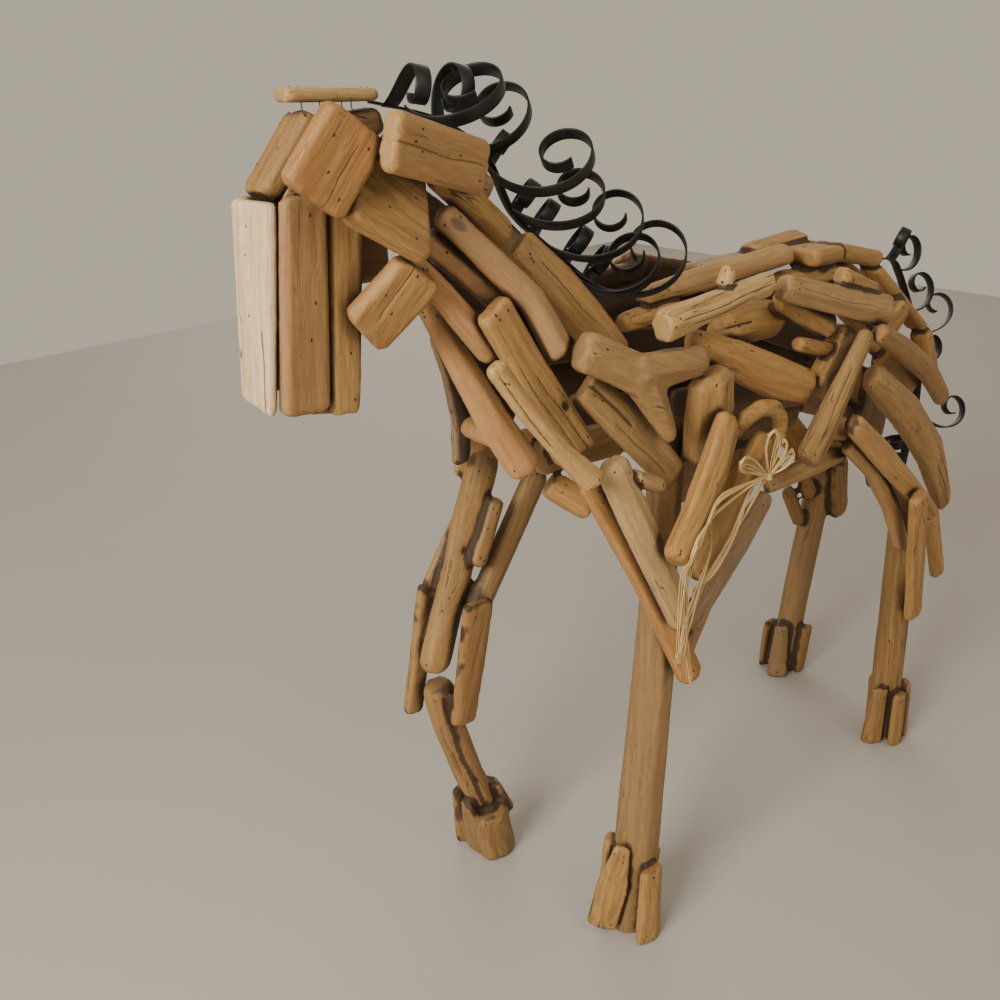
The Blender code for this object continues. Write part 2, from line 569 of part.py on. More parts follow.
def lay_foreleg_sticks(horse):
    """The bundles of sticks that widen both forelegs above the knee."""
    lay_rows(horse, [
        ("left_fore_post", (-184, -84, 352), (-142, -56, 505), 36, 28, {"hold": True}),
        ("left_fore_post", (-116, -98, 330), (-164, -108, 284), 20, 16, {}),
        ("back_elbow_stick", (-41, -94, 409), (-170, -108, 320), 28, 19,
         {"tone": GREY, "swell": (0.73, 0.95, 1.05, 1.00, 0.83), "bend": (-1, -2, -3)}),
        ("bow_elbow_stick", (-86, -115, 488), (-187, -121, 384), 30, 20,
         {"swell": (0.83, 0.96, 1.08, 1.03, 0.86), "bend": (-3, -4, -2)}),
        ("long_elbow_stick", (-274, -86, 491), (-182, -116, 281), 24, 19,
         {"bend": (3, 4, 3), "ends": (0.85, 1.0), "tone": ORANGE}),
    ], 399)
    lay_fork(horse, "forked_foreleg_stick", [
        ((-275, -122, 512), (-206, -142, 350), 30, 20, {"ends": (1.0, 0.9)}),
        ((-256, -126, 496), (-216, -124, 475), 15, 14, {})], 404, PALE)
    lay_rows(horse, [
        ("front_elbow_stick", (-140, -119, 519), (-241, -152, 427), 33, 20,
         {"swell": (0.81, 1.06, 1.01, 0.95, 0.82), "bend": (6, 7, 4)}),
    ], 406)
    lay_rows(horse, [
        ("right_forearm", (-247, 76, 465), (-317, 86, 254), 36, 28, {"hold": True, "ends": (0.9, 0.95)}),
        ("right_forearm", (-183, 66, 431), (-273, 73, 309), 27, 20, {}),
        ("right_forearm", (-248, 64, 424), (-276, 66, 361), 17, 14, {}),
        ("right_forearm", (-252, 112, 409), (-304, 112, 333), 24, 9, {"face": RIGHT, "flat": True}),
        ("right_forearm", (-302, 106, 338), (-324, 116, 196), 23, 13,
         {"face": RIGHT, "flat": True, "hold": True}),
        ("right_fore_cannon", (-284, 61, 333), (-297, 70, 192), 34, 12,
         {"flat": True, "tone": PINK, "ends": (1.05, 0.92)}),
    ], 420)


def lay_hind_sticks(horse):
    """The outer sticks and slats of both hind legs."""
    lay_rows(horse, [
        ("left_gaskin_stick", (162, -118, 363), (233, -108, 179), 27, 16, {}),
        ("left_hock_slat", (267, -100, 297), (335, -82, 190), 22, 14, {}),
        ("right_hind_post", (315, 60, 307), (341, 68, 222), 34, 14, {"tone": GREY}),
        ("right_hind_post", (259, 78, 291), (281, 76, 260), 25, 13, {}),
        ("right_hind_post", (236, 85, 281), (276, 90, 221), 20, 15, {}),
    ], 440)


def lay_right_side(horse):
    """The right flank: the same manner of nailing as on the left, in a plainer pattern."""
    lay_rows(horse, [
        ("right_flank_sticks", (-206, 78, 574), (-20, 76, 574), 30, 22, {}),
        ("right_flank_sticks", (-190, 92, 552), (20, 96, 530), 46, 22, {}),
        ("right_flank_sticks", (-150, 98, 506), (80, 100, 474), 44, 20, {}),
        ("right_flank_sticks", (-30, 104, 590), (-62, 112, 440), 36, 18, {}),
        ("right_flank_sticks", (-90, 90, 436), (90, 90, 420), 32, 16, {}),
        ("right_flank_sticks", (-60, 88, 398), (112, 86, 366), 34, 16, {}),
        ("right_flank_sticks", (-170, 52, 576), (-40, 52, 572), 40, 16, {"face": Vector((0, 0.6, 0.8))}),
        ("right_flank_sticks", (-70, 52, 570), (125, 50, 562), 40, 16, {"face": Vector((0, 0.6, 0.8))}),
        ("right_shoulder_sticks", (-236, 92, 600), (-170, 104, 478), 42, 20, {}),
        ("right_shoulder_sticks", (-262, 92, 560), (-196, 100, 466), 38, 20, {}),
        ("right_shoulder_sticks", (-168, 104, 560), (-214, 116, 410), 40, 20, {}),
        ("right_shoulder_sticks", (-120, 104, 540), (-206, 122, 396), 38, 20, {}),
        ("right_haunch_sticks", (0, 80, 572), (190, 82, 540), 36, 20, {}),
        ("right_haunch_sticks", (60, 104, 546), (180, 98, 400), 44, 20, {}),
        ("right_haunch_sticks", (110, 96, 520), (334, 110, 292), 42, 19, {}),
        ("right_haunch_sticks", (60, 108, 470), (240, 102, 300), 36, 18, {}),
        ("right_haunch_sticks", (170, 80, 556), (318, 64, 420), 36, 18, {}),
    ], 500, face=RIGHT)


# ---------------------------------------------------------------- strips and straw


def ribbon(path, side, width, thick):
    """Closed faces of a flat strip that follows a path of points, its width along side."""
    verts, faces = [], []
    for k, p in enumerate(path):
        ahead = (path[min(k + 1, len(path) - 1)] - path[max(k - 1, 0)]).normalized()
        out = side.cross(ahead).normalized()
        for s, t in ((-1, -1), (1, -1), (1, 1), (-1, 1)):
            verts.append(p + side * s * width / 2 + out * t * thick / 2)
    for k in range(len(path) - 1):
        for i in range(4):
            n = (i + 1) % 4
            faces.append((4 * k + i, 4 * k + n, 4 * k + 4 + n, 4 * k + 4 + i))
    last = 4 * (len(path) - 1)
    return verts, [(3, 2, 1, 0), *faces, tuple(last + i for i in range(4))]


def curl(root, slope, splay, heading, length, first, last, stations):
    """Middle line and width direction of a strip nailed across a sloping bar.

    The bar slopes down and back. The strip leaves it sideways by the splay, to the left when
    that is positive, and its bend tightens from the first radius to the last one as it rolls up.
    """
    slope, splay, angle = (math.radians(turn) for turn in (slope, splay, heading))
    down = Vector((math.cos(slope), 0, -math.sin(slope)))
    up = Vector((math.sin(slope), 0, math.cos(slope)))
    ahead = down * math.cos(splay) + LEFT * math.sin(splay)
    at = root.copy()
    path = [at.copy()]
    reached = 0.0
    for k in range(stations):
        share = 1 - (1 - (k + 1) / stations) ** EASE
        step = (share - reached) * length
        bend = 1 / first + (1 / last - 1 / first) * ((share + reached) / 2) ** TIGHTEN
        angle += bend * step / 2
        at += (ahead * math.cos(angle) + up * math.sin(angle)) * step
        angle += bend * step / 2
        reached = share
        path.append(at.copy())
    return path, up.cross(ahead).normalized()


def lay_strips(name, bar, curls, parent):
    """A bar of black strip with curled strips nailed across it, as one body."""
    side = LEFT.copy()
    items = [new_object(f"{name}.bar", *ribbon([point(x, 0, z) for x, z in bar], side,
                                               STRIP_WIDTH * MM, STRIP_THICK * MM), parent)]
    for k, (x, z, *shape, length, first, last) in enumerate(curls):
        stations = max(6, round(length / CURL_STEP))
        path, side = curl(point(x, 0, z), *shape, length * MM, first * MM, last * MM, stations)
        items.append(new_object(f"{name}.{k}", *ribbon(path, side, STRIP_WIDTH * MM, STRIP_THICK * MM),
                                parent))
    item = fuse(name, items)
    item.data.materials.clear()
    item.data.materials.append(paint_material(name))


# A curl is: X and Z of its root on the bar, slope, splay, heading, length, first and last radius.


def lay_mane(parent):
    """The mane: strips that fall alternately to the left and to the right of the crest."""
    lay_strips("mane_strips", [
        (-396, 785), (-338, 769), (-296, 740), (-270, 694), (-232, 661), (-203, 638), (-170, 613),
    ], [
        (-366, 777, 59, 78, -25, 204, 45, 15),
        (-301, 744, 46, 66, 26, 161, 40, 12),
        (-300, 743, 52, 70, -41, 224, 79, 13),
        (-271, 695, 57, 62, -6, 191, 67, 11),
        (-233, 662, 45, 60, -7, 206, 74, 12),
        (-206, 640, 47, 70, -39, 221, 51, 13),
        (-204, 638, 45, 59, -19, 211, 84, 17),
        (-382, 781, 11, -72, 167, 112, -50, 7),
        (-338, 769, 11, -83, 57, 119, 27, 12),
        (-292, 734, 45, -60, 20, 64, 16, 8),
        (-268, 692, 45, -60, 20, 80, 18, 9),
        (-247, 674, 45, -60, 15, 84, 18, 9),
        (-212, 645, 45, -60, 15, 96, 20, 10),
        (-186, 625, 45, -60, 15, 96, 20, 10),
    ], parent)


def lay_tail(parent):
    """The tail: curled strips on a bar that hangs behind the rump."""
    lay_strips("tail_strips", [
        (226, 577), (262, 576), (300, 570), (320, 551), (354, 500), (374, 467), (386, 430), (388, 380),
        (379, 335), (364, 268),
    ], [
        (314, 557, 52, 15, 26, 108, 32, 9),
        (354, 500, 49, 27, 42, 117, 43, 8),
        (373, 469, 38, 43, 25, 122, 68, 9),
        (386, 430, 68, 26, 51, 67, 74, 10),
        (387, 372, 44, 31, -18, 155, 98, 9),
        (298, 571, 50, -30, 40, 90, 24, 9),
        (374, 310, 80, -80, -10, 150, 70, 9),
        (365, 272, 80, -78, -20, 150, 70, 9),
    ], parent)


# A strand is the points of its middle line, before it is lifted clear of the wood.


def clear_of(horse, at, room):
    """Comes from the left towards the point, as far as no wood lies within the room."""
    for step in range(MOST_LIFT, -1, -1):
        here = at + LEFT * STEP * step
        if any(tree.find_nearest(here, room)[0] for _, tree, low, high in horse.laid
               if all(low[i] - room < here[i] < high[i] + room for i in range(3))):
            return here + LEFT * STEP
    return at


def lay_bow(horse, parent):
    """The raffia bow on the flank: loops and long ends that leave one knot, as one body."""
    knot = (-107, -141, 461)
    strands = [
        [(-122, -141, 462), (-182, -148, 462), (-204, -150, 445), (-221, -150, 413), (-225, -152, 356),
         (-219, -152, 304)],
        [(-141, -142, 432), (-181, -144, 400), (-208, -146, 374), (-231, -151, 333)],
        [(-124, -143, 462), (-198, -150, 450), (-223, -150, 438), (-231, -152, 409), (-238, -153, 335)],
        [(-119, -146, 488), (-122, -150, 506), (-115, -152, 509), (-109, -152, 501), (-110, -148, 482)],
        [(-106, -147, 484), (-104, -152, 498), (-97, -153, 494), (-99, -150, 480)],
        [(-96, -148, 475), (-89, -152, 485), (-86, -152, 480), (-92, -149, 471)],
        [(-133, -145, 483), (-150, -148, 492), (-157, -148, 487), (-137, -144, 476)],
    ]
    ends = 3  # the first strands are loose ends, the others loops that come back to the knot
    middle = clear_of(horse, point(*knot), KNOT * MM / 2 + GAP)
    across = [middle + BACK * KNOT * MM * share for share in (-0.5, 0.5)]
    items = [new_object("knot", *ribbon(across, LEFT, KNOT * MM * 0.8, KNOT * MM), parent)]
    chance = random.Random(1)
    for k, strand in enumerate(strands):
        way = []
        for start, stop in zip(strand, strand[1:]):
            start, stop = point(*start), point(*stop)
            parts = max(1, round((stop - start).length / (STRAND_STEP * MM)))
            way += [start.lerp(stop, i / parts) for i in range(parts)]
        way.append(point(*strand[-1]))
        path = [clear_of(horse, at, (STRAW_ROOM + LAYER * k) * MM) for at in way]
        path = [at for at in path if (at - middle).length > KNOT * MM]
        # A loop is two strands that meet at its far end, so that neither runs into itself.
        far = len(path) // 2
        for half in [path] if k < ends else [path[:far + 1], path[:far - 1:-1]]:
            start = middle + point(*(chance.uniform(-1, 1) for _ in range(3)))
            over = (half[-1] - half[-2]).normalized() * STRAW * MM
            items.append(new_object(f"strand.{k}", *ribbon(
                [start, *half[:-1], half[-1] + over], LEFT, STRAW * MM, STRAW * MM), parent))
    item = fuse("raffia_bow", items)
    item.data.materials.clear()
    item.data.materials.append(wood_material("raffia_bow", STRAW_TONE))


def level(base):
    """Moves the horse so that the middle of the underside of its box is the origin."""
    places = [item.matrix_world @ vert.co for item in base.children for vert in item.data.vertices]
    low = [min(place[i] for place in places) for i in range(3)]
    high = [max(place[i] for place in places) for i in range(3)]
    base.location = (-(low[0] + high[0]) / 2, -(low[1] + high[1]) / 2, -low[2])
    bpy.context.view_layer.update()


def main():
    for item in list(bpy.data.objects):
        bpy.data.objects.remove(item)
    base = bpy.data.objects.new("horse", None)
    bpy.context.scene.collection.objects.link(base)
    horse = Horse()
    lay_leg_posts(horse)
    lay_face(horse)
    lay_neck(horse)
    lay_head_sides(horse)
    lay_barrel(horse)
    lay_foreleg_sticks(horse)
    lay_hind_sticks(horse)
    lay_right_side(horse)
    for node, sticks in horse.nodes.items():
        items = [stick_object(f"{node}.{k}", stick, base) for k, stick in enumerate(sticks)]
        item = fuse(node, items)
        item.data.shade_smooth()
        crease = PLANK_CREASE if sticks[0].flat else STICK_CREASE
        item.data.set_sharp_from_angle(angle=math.radians(crease))
        item.data.materials.clear()
        item.data.materials.append(wood_material(node, horse.tones[node]))
    lay_mane(base)
    lay_tail(base)
    lay_bow(horse, base)
    bpy.context.view_layer.update()
    level(base)


main()
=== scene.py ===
# %% [markdown]
# # A driftwood horse
# The real horse is nailed together from sticks and planks that the sea has worn smooth. Its mane
# and tail are curled strips of black steel, and a raffia bow sits on its left flank. The solids of
# the horse come ready made and in place, so this file gives them what the sea and the maker gave
# the real ones: rounded edges, grain, cracks, knots, end grain and nail heads.

# %% Load the solids
import json
import math
import random

import bmesh
import bpy
import numpy as np
from mathutils import Matrix, Vector
from mathutils.bvhtree import BVHTree


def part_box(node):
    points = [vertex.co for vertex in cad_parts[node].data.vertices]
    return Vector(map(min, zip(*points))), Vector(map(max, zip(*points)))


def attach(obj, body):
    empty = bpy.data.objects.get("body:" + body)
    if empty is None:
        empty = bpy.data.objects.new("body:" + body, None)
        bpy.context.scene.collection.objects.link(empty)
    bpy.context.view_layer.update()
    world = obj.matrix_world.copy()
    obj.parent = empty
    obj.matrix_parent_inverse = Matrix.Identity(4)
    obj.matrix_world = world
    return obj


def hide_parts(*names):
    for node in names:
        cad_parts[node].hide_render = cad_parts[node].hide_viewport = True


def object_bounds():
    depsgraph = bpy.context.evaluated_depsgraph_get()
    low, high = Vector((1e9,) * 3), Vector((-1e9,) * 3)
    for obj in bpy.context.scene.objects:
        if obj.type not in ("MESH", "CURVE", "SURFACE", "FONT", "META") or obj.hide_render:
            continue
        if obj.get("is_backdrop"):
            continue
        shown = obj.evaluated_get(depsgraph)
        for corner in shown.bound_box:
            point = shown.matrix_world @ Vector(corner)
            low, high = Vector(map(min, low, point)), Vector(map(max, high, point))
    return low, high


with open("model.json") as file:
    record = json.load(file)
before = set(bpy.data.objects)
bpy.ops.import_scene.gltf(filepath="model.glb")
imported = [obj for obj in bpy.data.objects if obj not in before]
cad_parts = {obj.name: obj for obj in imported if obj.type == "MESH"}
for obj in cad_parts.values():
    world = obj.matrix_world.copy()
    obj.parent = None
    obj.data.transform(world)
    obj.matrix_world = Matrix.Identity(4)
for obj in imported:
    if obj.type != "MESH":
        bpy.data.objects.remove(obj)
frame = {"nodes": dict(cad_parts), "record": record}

MM = 0.001
MIDDLE = Vector((0, 0, 0.4))  # of the horse, in metres
solid_low, solid_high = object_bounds()


def add_object(name, data):
    """Puts a new object into the scene."""
    made = bpy.data.objects.new(name, data)
    bpy.context.scene.collection.objects.link(made)
    return made


print("solids:", len(frame["nodes"]), "box:", [round(c, 3) for c in solid_high - solid_low])

# %% [markdown]
# ## Camera
# The horse is seen from the front left and from above its back, as somebody standing in front of
# a table sees it. The camera is set first, so that every later step can be judged in one view.

# %% Camera
EYE = Vector((-0.837, -0.691, 0.828))
HEADING, DIP, ROLL = (math.radians(turn) for turn in (-40.55, 22.33, -2.13))
TILT = math.pi / 2 - DIP
lens = bpy.data.cameras.new("camera")
lens.lens = 40.56
lens.shift_x, lens.shift_y = -0.013, -0.0075
lens.clip_start, lens.clip_end = 0.05, 30
camera = add_object("camera", lens)
camera.matrix_world = (Matrix.Translation(EYE) @ Matrix.Rotation(HEADING, 4, "Z")
                       @ Matrix.Rotation(TILT, 4, "X") @ Matrix.Rotation(ROLL, 4, "Z"))
bpy.context.scene.camera = camera
print("camera", round((EYE - MIDDLE).length, 2), "m from the middle of the horse")

# %% [markdown]
# ## Floor and light
# A pale floor and a few large, soft lights. The main light stands in front of the face and to the
# left, which leaves the gaps between the sticks dark and makes the front of the face the
# brightest place.

# %% Floor and light
FLOOR_REACH = 2.6  # metres from the middle of the floor to its edges
ROOM_TONE, ROOM_STRENGTH = (0.90, 0.805, 0.64, 1), 0.58
floor_mesh = bpy.data.meshes.new("floor")
floor_mesh.from_pydata([(x * FLOOR_REACH, y * FLOOR_REACH, 0) for x, y in
                        ((-1, -1), (1, -1), (1, 1), (-1, 1))], [], [(0, 1, 2, 3)])
floor = add_object("floor", floor_mesh)
floor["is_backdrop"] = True


def add_light(name, place, power, size, tone):
    """A square light that looks at the middle of the horse."""
    light = bpy.data.lights.new(name, "AREA")
    light.energy, light.size, light.color = power, size, tone
    lamp = add_object(name, light)
    lamp.location = place
    lamp.rotation_euler = (MIDDLE - Vector(place)).to_track_quat("-Z", "Y").to_euler()


add_light("main_light", (-2.3, -0.6, 1.6), 74, 1.0, (1.0, 0.95, 0.87))
add_light("soft_light", (-0.3, -2.2, 2.4), 10, 1.0, (1.0, 0.94, 0.84))
add_light("back_light", (1.6, 2.4, 1.6), 26, 2.0, (1.0, 0.96, 0.90))
world = bpy.data.worlds.new("room")
world.use_nodes = True
backdrop = world.node_tree.nodes["Background"].inputs
backdrop["Color"].default_value = ROOM_TONE
backdrop["Strength"].default_value = ROOM_STRENGTH
bpy.context.scene.world = world

# %% [markdown]
# ## Shader maths as expressions
# A finish is easier to read as a formula than as a list of nodes and links. `Value` wraps one
# socket of a material. Its operators add the Math nodes that they need, or Vector Math nodes for
# vectors, and its `node` method adds any other node.

# %% A socket that can be calculated with
class Value:
    """One number, vector or colour that changes over a surface."""

    def __init__(self, tree, socket=None):
        self.tree, self.socket = tree, socket

    def node(self, kind, settings, inputs, output=0):
        """Adds a node: first its settings, then the values or links of its sockets."""
        made = self.tree.nodes.new(kind)
        for name, setting in settings.items():
            setattr(made, name, setting)
        for key, given in inputs.items():
            if isinstance(given, Value):
                self.tree.links.new(given.socket, made.inputs[key])
            else:
                made.inputs[key].default_value = given
        return Value(self.tree, made.outputs[output])

    def combine(self, operation, *others):
        """A Math node, or a Vector Math node if this is a vector."""
        kind = "ShaderNodeVectorMath" if self.socket.type == "VECTOR" else "ShaderNodeMath"
        return self.node(kind, {"operation": operation}, dict(enumerate((self, *others))))

    def __add__(self, other):
        return self.combine("ADD", other)

    def __sub__(self, other):
        return self.combine("SUBTRACT", other)

    def __mul__(self, other):
        return self.combine("MULTIPLY", other)

    def __rsub__(self, other):
        return self * -1 + other

    def ramp(self, low, high):
        """0 below low, 1 above high and smooth between them."""
        return self.node("ShaderNodeMapRange", {"interpolation_type": "SMOOTHSTEP"},
                         {"Value": self, "From Min": low, "From Max": high})

    def size(self):
        """How far a number is from zero."""
        return self.combine("ABSOLUTE")

    def length(self):
        """The length of a vector."""
        return self.node("ShaderNodeVectorMath", {"operation": "LENGTH"}, {0: self}, "Value")

    def waves(self):
        """Runs from 0 to 1 and back, over and over, as the value grows."""
        return self.combine("SINE") * 0.5 + 0.5

    def part(self, axis):
        """One of the three numbers of a vector."""
        return self.node("ShaderNodeSeparateXYZ", {}, {0: self}, axis)

    def noise(self, scale, detail=2.0, shift=(0, 0, 0)):
        """Soft noise around a half, at a scale for each axis of this vector."""
        return self.node("ShaderNodeTexNoise", {}, {
            "Vector": self * scale + shift, "Scale": 1.0, "Detail": detail, "Roughness": 0.55})


def blend(base, other, share):
    """Goes from one colour to the other by a share that may change over the surface."""
    some = next(item for item in (share, base, other) if isinstance(item, Value))
    return some.node("ShaderNodeMix", {"data_type": "RGBA"}, {0: share, 6: base, 7: other}, 2)


def read(tree, attribute):
    """A value that the mesh holds at each of its points."""
    return Value(tree).node("ShaderNodeAttribute", {"attribute_name": attribute}, {}, "Vector")


def new_finish(name):
    """An empty material, its shader and its node tree."""
    finish = bpy.data.materials.new(name)
    finish.use_nodes = True
    return finish, finish.node_tree.nodes["Principled BSDF"], finish.node_tree


def connect(shader, name, value):
    """Lets a value drive one socket of the shader."""
    value.tree.links.new(value.socket, shader.inputs[name])


def bump(height, strength, depth):
    """A tilted surface normal, from a height in parts of the depth."""
    return height.node("ShaderNodeBump", {}, {"Height": height, "Strength": strength,
                                              "Distance": depth})


print("shader maths ready")

# %% [markdown]
# ## Sea-worn wood
# Wood is stiff straws in a bundle, so every pattern in it is stretched along the grain: fine
# fibres, broader streaks, the lines of the growth rings and long drying cracks. The cut ends show
# the rings as circles instead. All of it is drawn in the stick's own millimetres, where Z runs
# along the grain, so a bent or tilted stick carries its grain with it. The sea bleaches the edges
# and the weather leaves darker clouds, and each stick gets a tone of its own.

# %% The wood finish
# DIRT colours specks, cracks and knot rings; the second tone is painted shade for closed-in
# places.
DIRT, PAINTED_SHADE_TONE = (0.045, 0.022, 0.010, 1), (0.028, 0.013, 0.006, 1)
KNOT_HOLE = (0.018, 0.010, 0.006, 1)
WARM_TONE, GREY_TONE = (0.50, 0.235, 0.070, 1), (0.36, 0.27, 0.165, 1)
ACROSS = (1, 1, 0)  # keeps what lies across the grain
PITH = (5, 11, 0)  # millimetres from the stick's middle to the middle of its growth rings


def wood(name, light, dark, cloud, fibre_depth, cracks):
    """Fibres, growth rings, clouds, cut ends, cracks, scars, the stick's tone, dirt specks and
    painted shade.
    """
    finish, shader, tree = new_finish(name)
    light, dark, cloud = ((*tone, 1) for tone in (light, dark, cloud))
    place, lot, skin, scar = (read(tree, held) for held in ("grain", "lot", "skin", "scar"))
    fibre = place.noise((0.75, 0.75, 0.035), 4.0)
    streak = place.noise((0.17, 0.17, 0.010), 3.0, (7, 3, 0))
    patch = place.noise((0.035, 0.035, 0.018), 3.0, (1, 5, 9))
    pith = (place * ACROSS + PITH).length()
    ring = ((pith + patch * 16 + streak * 5) * 2.1).waves()
    share = fibre * 0.8 + streak * 1.1 + ring * 0.16 - 0.55
    colour = blend(dark, light, share.ramp(0.05, 0.95))
    colour = blend(colour, cloud, patch.ramp(0.50, 0.78) * 0.55)
    speck = place.noise((1.3, 1.3, 0.22), 1.0, (3, 8, 2)).ramp(0.66, 0.74)
    colour = blend(colour, DIRT, speck * 0.35)
    # Cut ends: circles of the rings, a little darker.
    core = (place * ACROSS).length() + fibre * 2.5
    circle = (core * 3.2).waves()
    end_colour = blend(dark, cloud, circle * 0.4 + fibre * 0.4 - 0.1)
    end = skin.part(0)
    colour = blend(colour, end_colour, end * 0.9)
    # Edges that the sea has rubbed pale.
    colour = blend(colour, light, skin.part(1) * 0.45)
    # Drying cracks, and the scars that single sticks carry.
    path = place.noise((0.10, 0.10, 0.0045), 2.0, (2, 9, 4)) - 0.5
    line = 1 - path.size().ramp(0.0, 0.010)
    crack = line * place.noise((0.02, 0.02, 0.008), 1.0, (6, 1, 3)).ramp(0.52, 0.62) * cracks
    ragged = (scar.part(1) + fibre * 1.6 - 0.8).size()
    split = 1 - (ragged - scar.part(2)).ramp(-0.35, 0.3)
    crack = crack.combine("MAXIMUM", split)
    knot = scar.part(0)
    eye = 1 - (knot + fibre).ramp(2.2, 3.6)
    halo = 1 - (knot + streak * 4).ramp(4.0, 10.0)
    growth = (knot * 3.4).waves()
    colour = blend(colour, blend(dark, DIRT, growth * 0.35), halo * 0.65)
    colour = blend(colour, DIRT, crack * 0.92)
    colour = blend(colour, KNOT_HOLE, eye)
    # Each stick's own tone: warmer or greyer, lighter or darker.
    colour = blend(colour, WARM_TONE, lot.part(1) * 0.30)
    colour = blend(colour, GREY_TONE, lot.part(2) * 0.32)
    colour = colour.node("ShaderNodeHueSaturation", {}, {"Color": colour, "Value": lot.part(0)})
    # Painted shade where the horse closes in around a place, in seams and on sides facing the
    # hollow.
    painted_shade = (skin.part(2) + fibre * 0.10 - 0.05).ramp(0.13, 0.68)
    connect(shader, "Base Color", blend(colour, PAINTED_SHADE_TONE, painted_shade * 0.92))
    connect(shader, "Roughness", fibre * 0.16 + 0.54 + crack * 0.2)
    raised = fibre * fibre_depth + streak * 0.5 + ring * 0.08
    height = raised - crack * 1.1 - eye * 1.4 - speck * 0.25
    connect(shader, "Normal", bump(height, 0.55, 0.9 * MM))
    return finish


WOODS = {  # light, dark and cloudy tone, how deep the fibres are and how strong the cracks
    "tan_wood": ((0.600, 0.345, 0.108), (0.310, 0.148, 0.036), (0.38, 0.215, 0.070), 0.5, 1.0),
    "orange_wood": ((0.58, 0.300, 0.090), (0.340, 0.145, 0.034), (0.40, 0.195, 0.056), 0.3, 0.4),
    "pale_wood": ((0.68, 0.450, 0.180), (0.400, 0.220, 0.066), (0.47, 0.300, 0.115), 0.8, 1.0),
    "pink_wood": ((0.64, 0.355, 0.138), (0.400, 0.190, 0.060), (0.46, 0.245, 0.088), 0.3, 0.3),
    "grey_wood": ((0.45, 0.300, 0.155), (0.250, 0.145, 0.062), (0.32, 0.220, 0.115), 0.5, 1.0),
    "inner_wood": ((0.24, 0.120, 0.045), (0.100, 0.046, 0.015), (0.14, 0.074, 0.030), 0.5, 1.0),
    # A paler copy of the pale wood for the nose bridge plank: painted light on its lit front.
    "painted_light_face_wood": ((0.88, 0.745, 0.520), (0.580, 0.410, 0.210), (0.72, 0.570, 0.360), 1.0, 1.0),
}
FINISHES = {name: wood(name, *made_of) for name, made_of in WOODS.items()}
print("wood finishes:", len(FINISHES))

# %% [markdown]
# ## Paint, straw, nail steel and floor
# The strips carry a satin black paint with a little dust on it. Raffia is pale and streaked along
# the straw. Nail heads and wires have rusted dark, and the floor is a plain pale one. The last two
# functions make visible pieces of drawn faces.

# %% The other finishes
def black_paint():
    finish, shader, tree = new_finish("black_strip")
    place = read(tree, "grain")
    dust = place.noise((0.05, 0.05, 0.05), 4.0)
    grit = place.noise((1.6, 1.6, 1.6), 1.0, (3, 3, 3))
    connect(shader, "Base Color", blend((0.004, 0.004, 0.004, 1), (0.016, 0.014, 0.012, 1),
                                        dust.ramp(0.48, 0.80) * 0.7))
    connect(shader, "Roughness", dust * 0.25 + 0.36)
    connect(shader, "Normal", bump(grit, 0.12, 0.2 * MM))
    return finish


def straw():
    finish, shader, tree = new_finish("raffia")
    place = read(tree, "grain")
    fibre = place.noise((3.0, 3.0, 0.05), 3.0)
    stain = place.noise((0.1, 0.1, 0.03), 2.0, (4, 4, 4))
    colour = blend((0.42, 0.260, 0.090, 1), (0.74, 0.530, 0.235, 1), fibre.ramp(0.30, 0.66))
    connect(shader, "Base Color", blend(colour, (0.34, 0.200, 0.065, 1),
                                        stain.ramp(0.50, 0.72) * 0.6))
    connect(shader, "Roughness", fibre * 0.2 + 0.42)
    connect(shader, "Normal", bump(fibre, 0.4, 0.25 * MM))
    return finish


def rust():
    finish, shader, tree = new_finish("nails")
    place = read(tree, "grain")
    spot = place.noise((0.8, 0.8, 0.8), 3.0)
    connect(shader, "Base Color", blend((0.012, 0.009, 0.008, 1), (0.075, 0.032, 0.014, 1),
                                        spot.ramp(0.45, 0.70)))
    connect(shader, "Roughness", spot * 0.4 + 0.4)
    connect(shader, "Normal", bump(spot, 0.3, 0.2 * MM))
    return finish


def pale_floor():
    finish, shader, tree = new_finish("pale_floor")
    place = Value(tree).node("ShaderNodeTexCoord", {}, {}, "Object")
    colour = blend((0.41, 0.380, 0.345, 1), (0.44, 0.410, 0.370, 1), place.noise((2, 2, 2), 2.0))
    connect(shader, "Base Color", colour)
    shader.inputs["Roughness"].default_value = 0.75
    return finish


def mesh_of(body, name):
    """Turns drawn faces into a mesh."""
    mesh = bpy.data.meshes.new(name)
    body.to_mesh(mesh)
    body.free()
    return mesh


def add_piece(name, mesh, slot, finish=None):
    """A visible piece that rides with the horse, finished like its slot if not stated."""
    mesh.materials.append(FINISHES[finish or slot])
    piece = add_object(name, mesh)
    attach(piece, "root")
    return piece


FINISHES.update(black_strip=black_paint(), raffia=straw(), nails=rust())
floor_mesh.materials.append(pale_floor())
print("finishes:", sorted(FINISHES))

# %% [markdown]
# ## Which stick is which
# Some solids are several sticks fused together. Two sticks meet in a folded-in edge, while one
# stick folds outwards all round, so a flood over the faces that stops at folded-in edges finds
# each stick. Hardly any of its faces look along its grain, and most look the way of its flat
# side, if it has one. A curve through its middle follows its bend.

# %% Find the sticks of a solid
FOLD = math.radians(18)  # an edge folded in by more than this parts two sticks
SMALL_SHARE = 0.03  # a patch with less than this share of the area isn't a stick of its own
FLAT = 1.5  # a stick is flat if so many times more area looks one way than another
LONG, MANY_FACES = 2.2, 20  # a bent stick is longer than this many widths and has more faces


def welded(node):
    """A solid with its corners joined."""
    solid = bmesh.new()
    solid.from_mesh(frame["nodes"][node].data)
    bmesh.ops.remove_doubles(solid, verts=solid.verts, dist=0.01 * MM)
    solid.faces.ensure_lookup_table()
    return solid


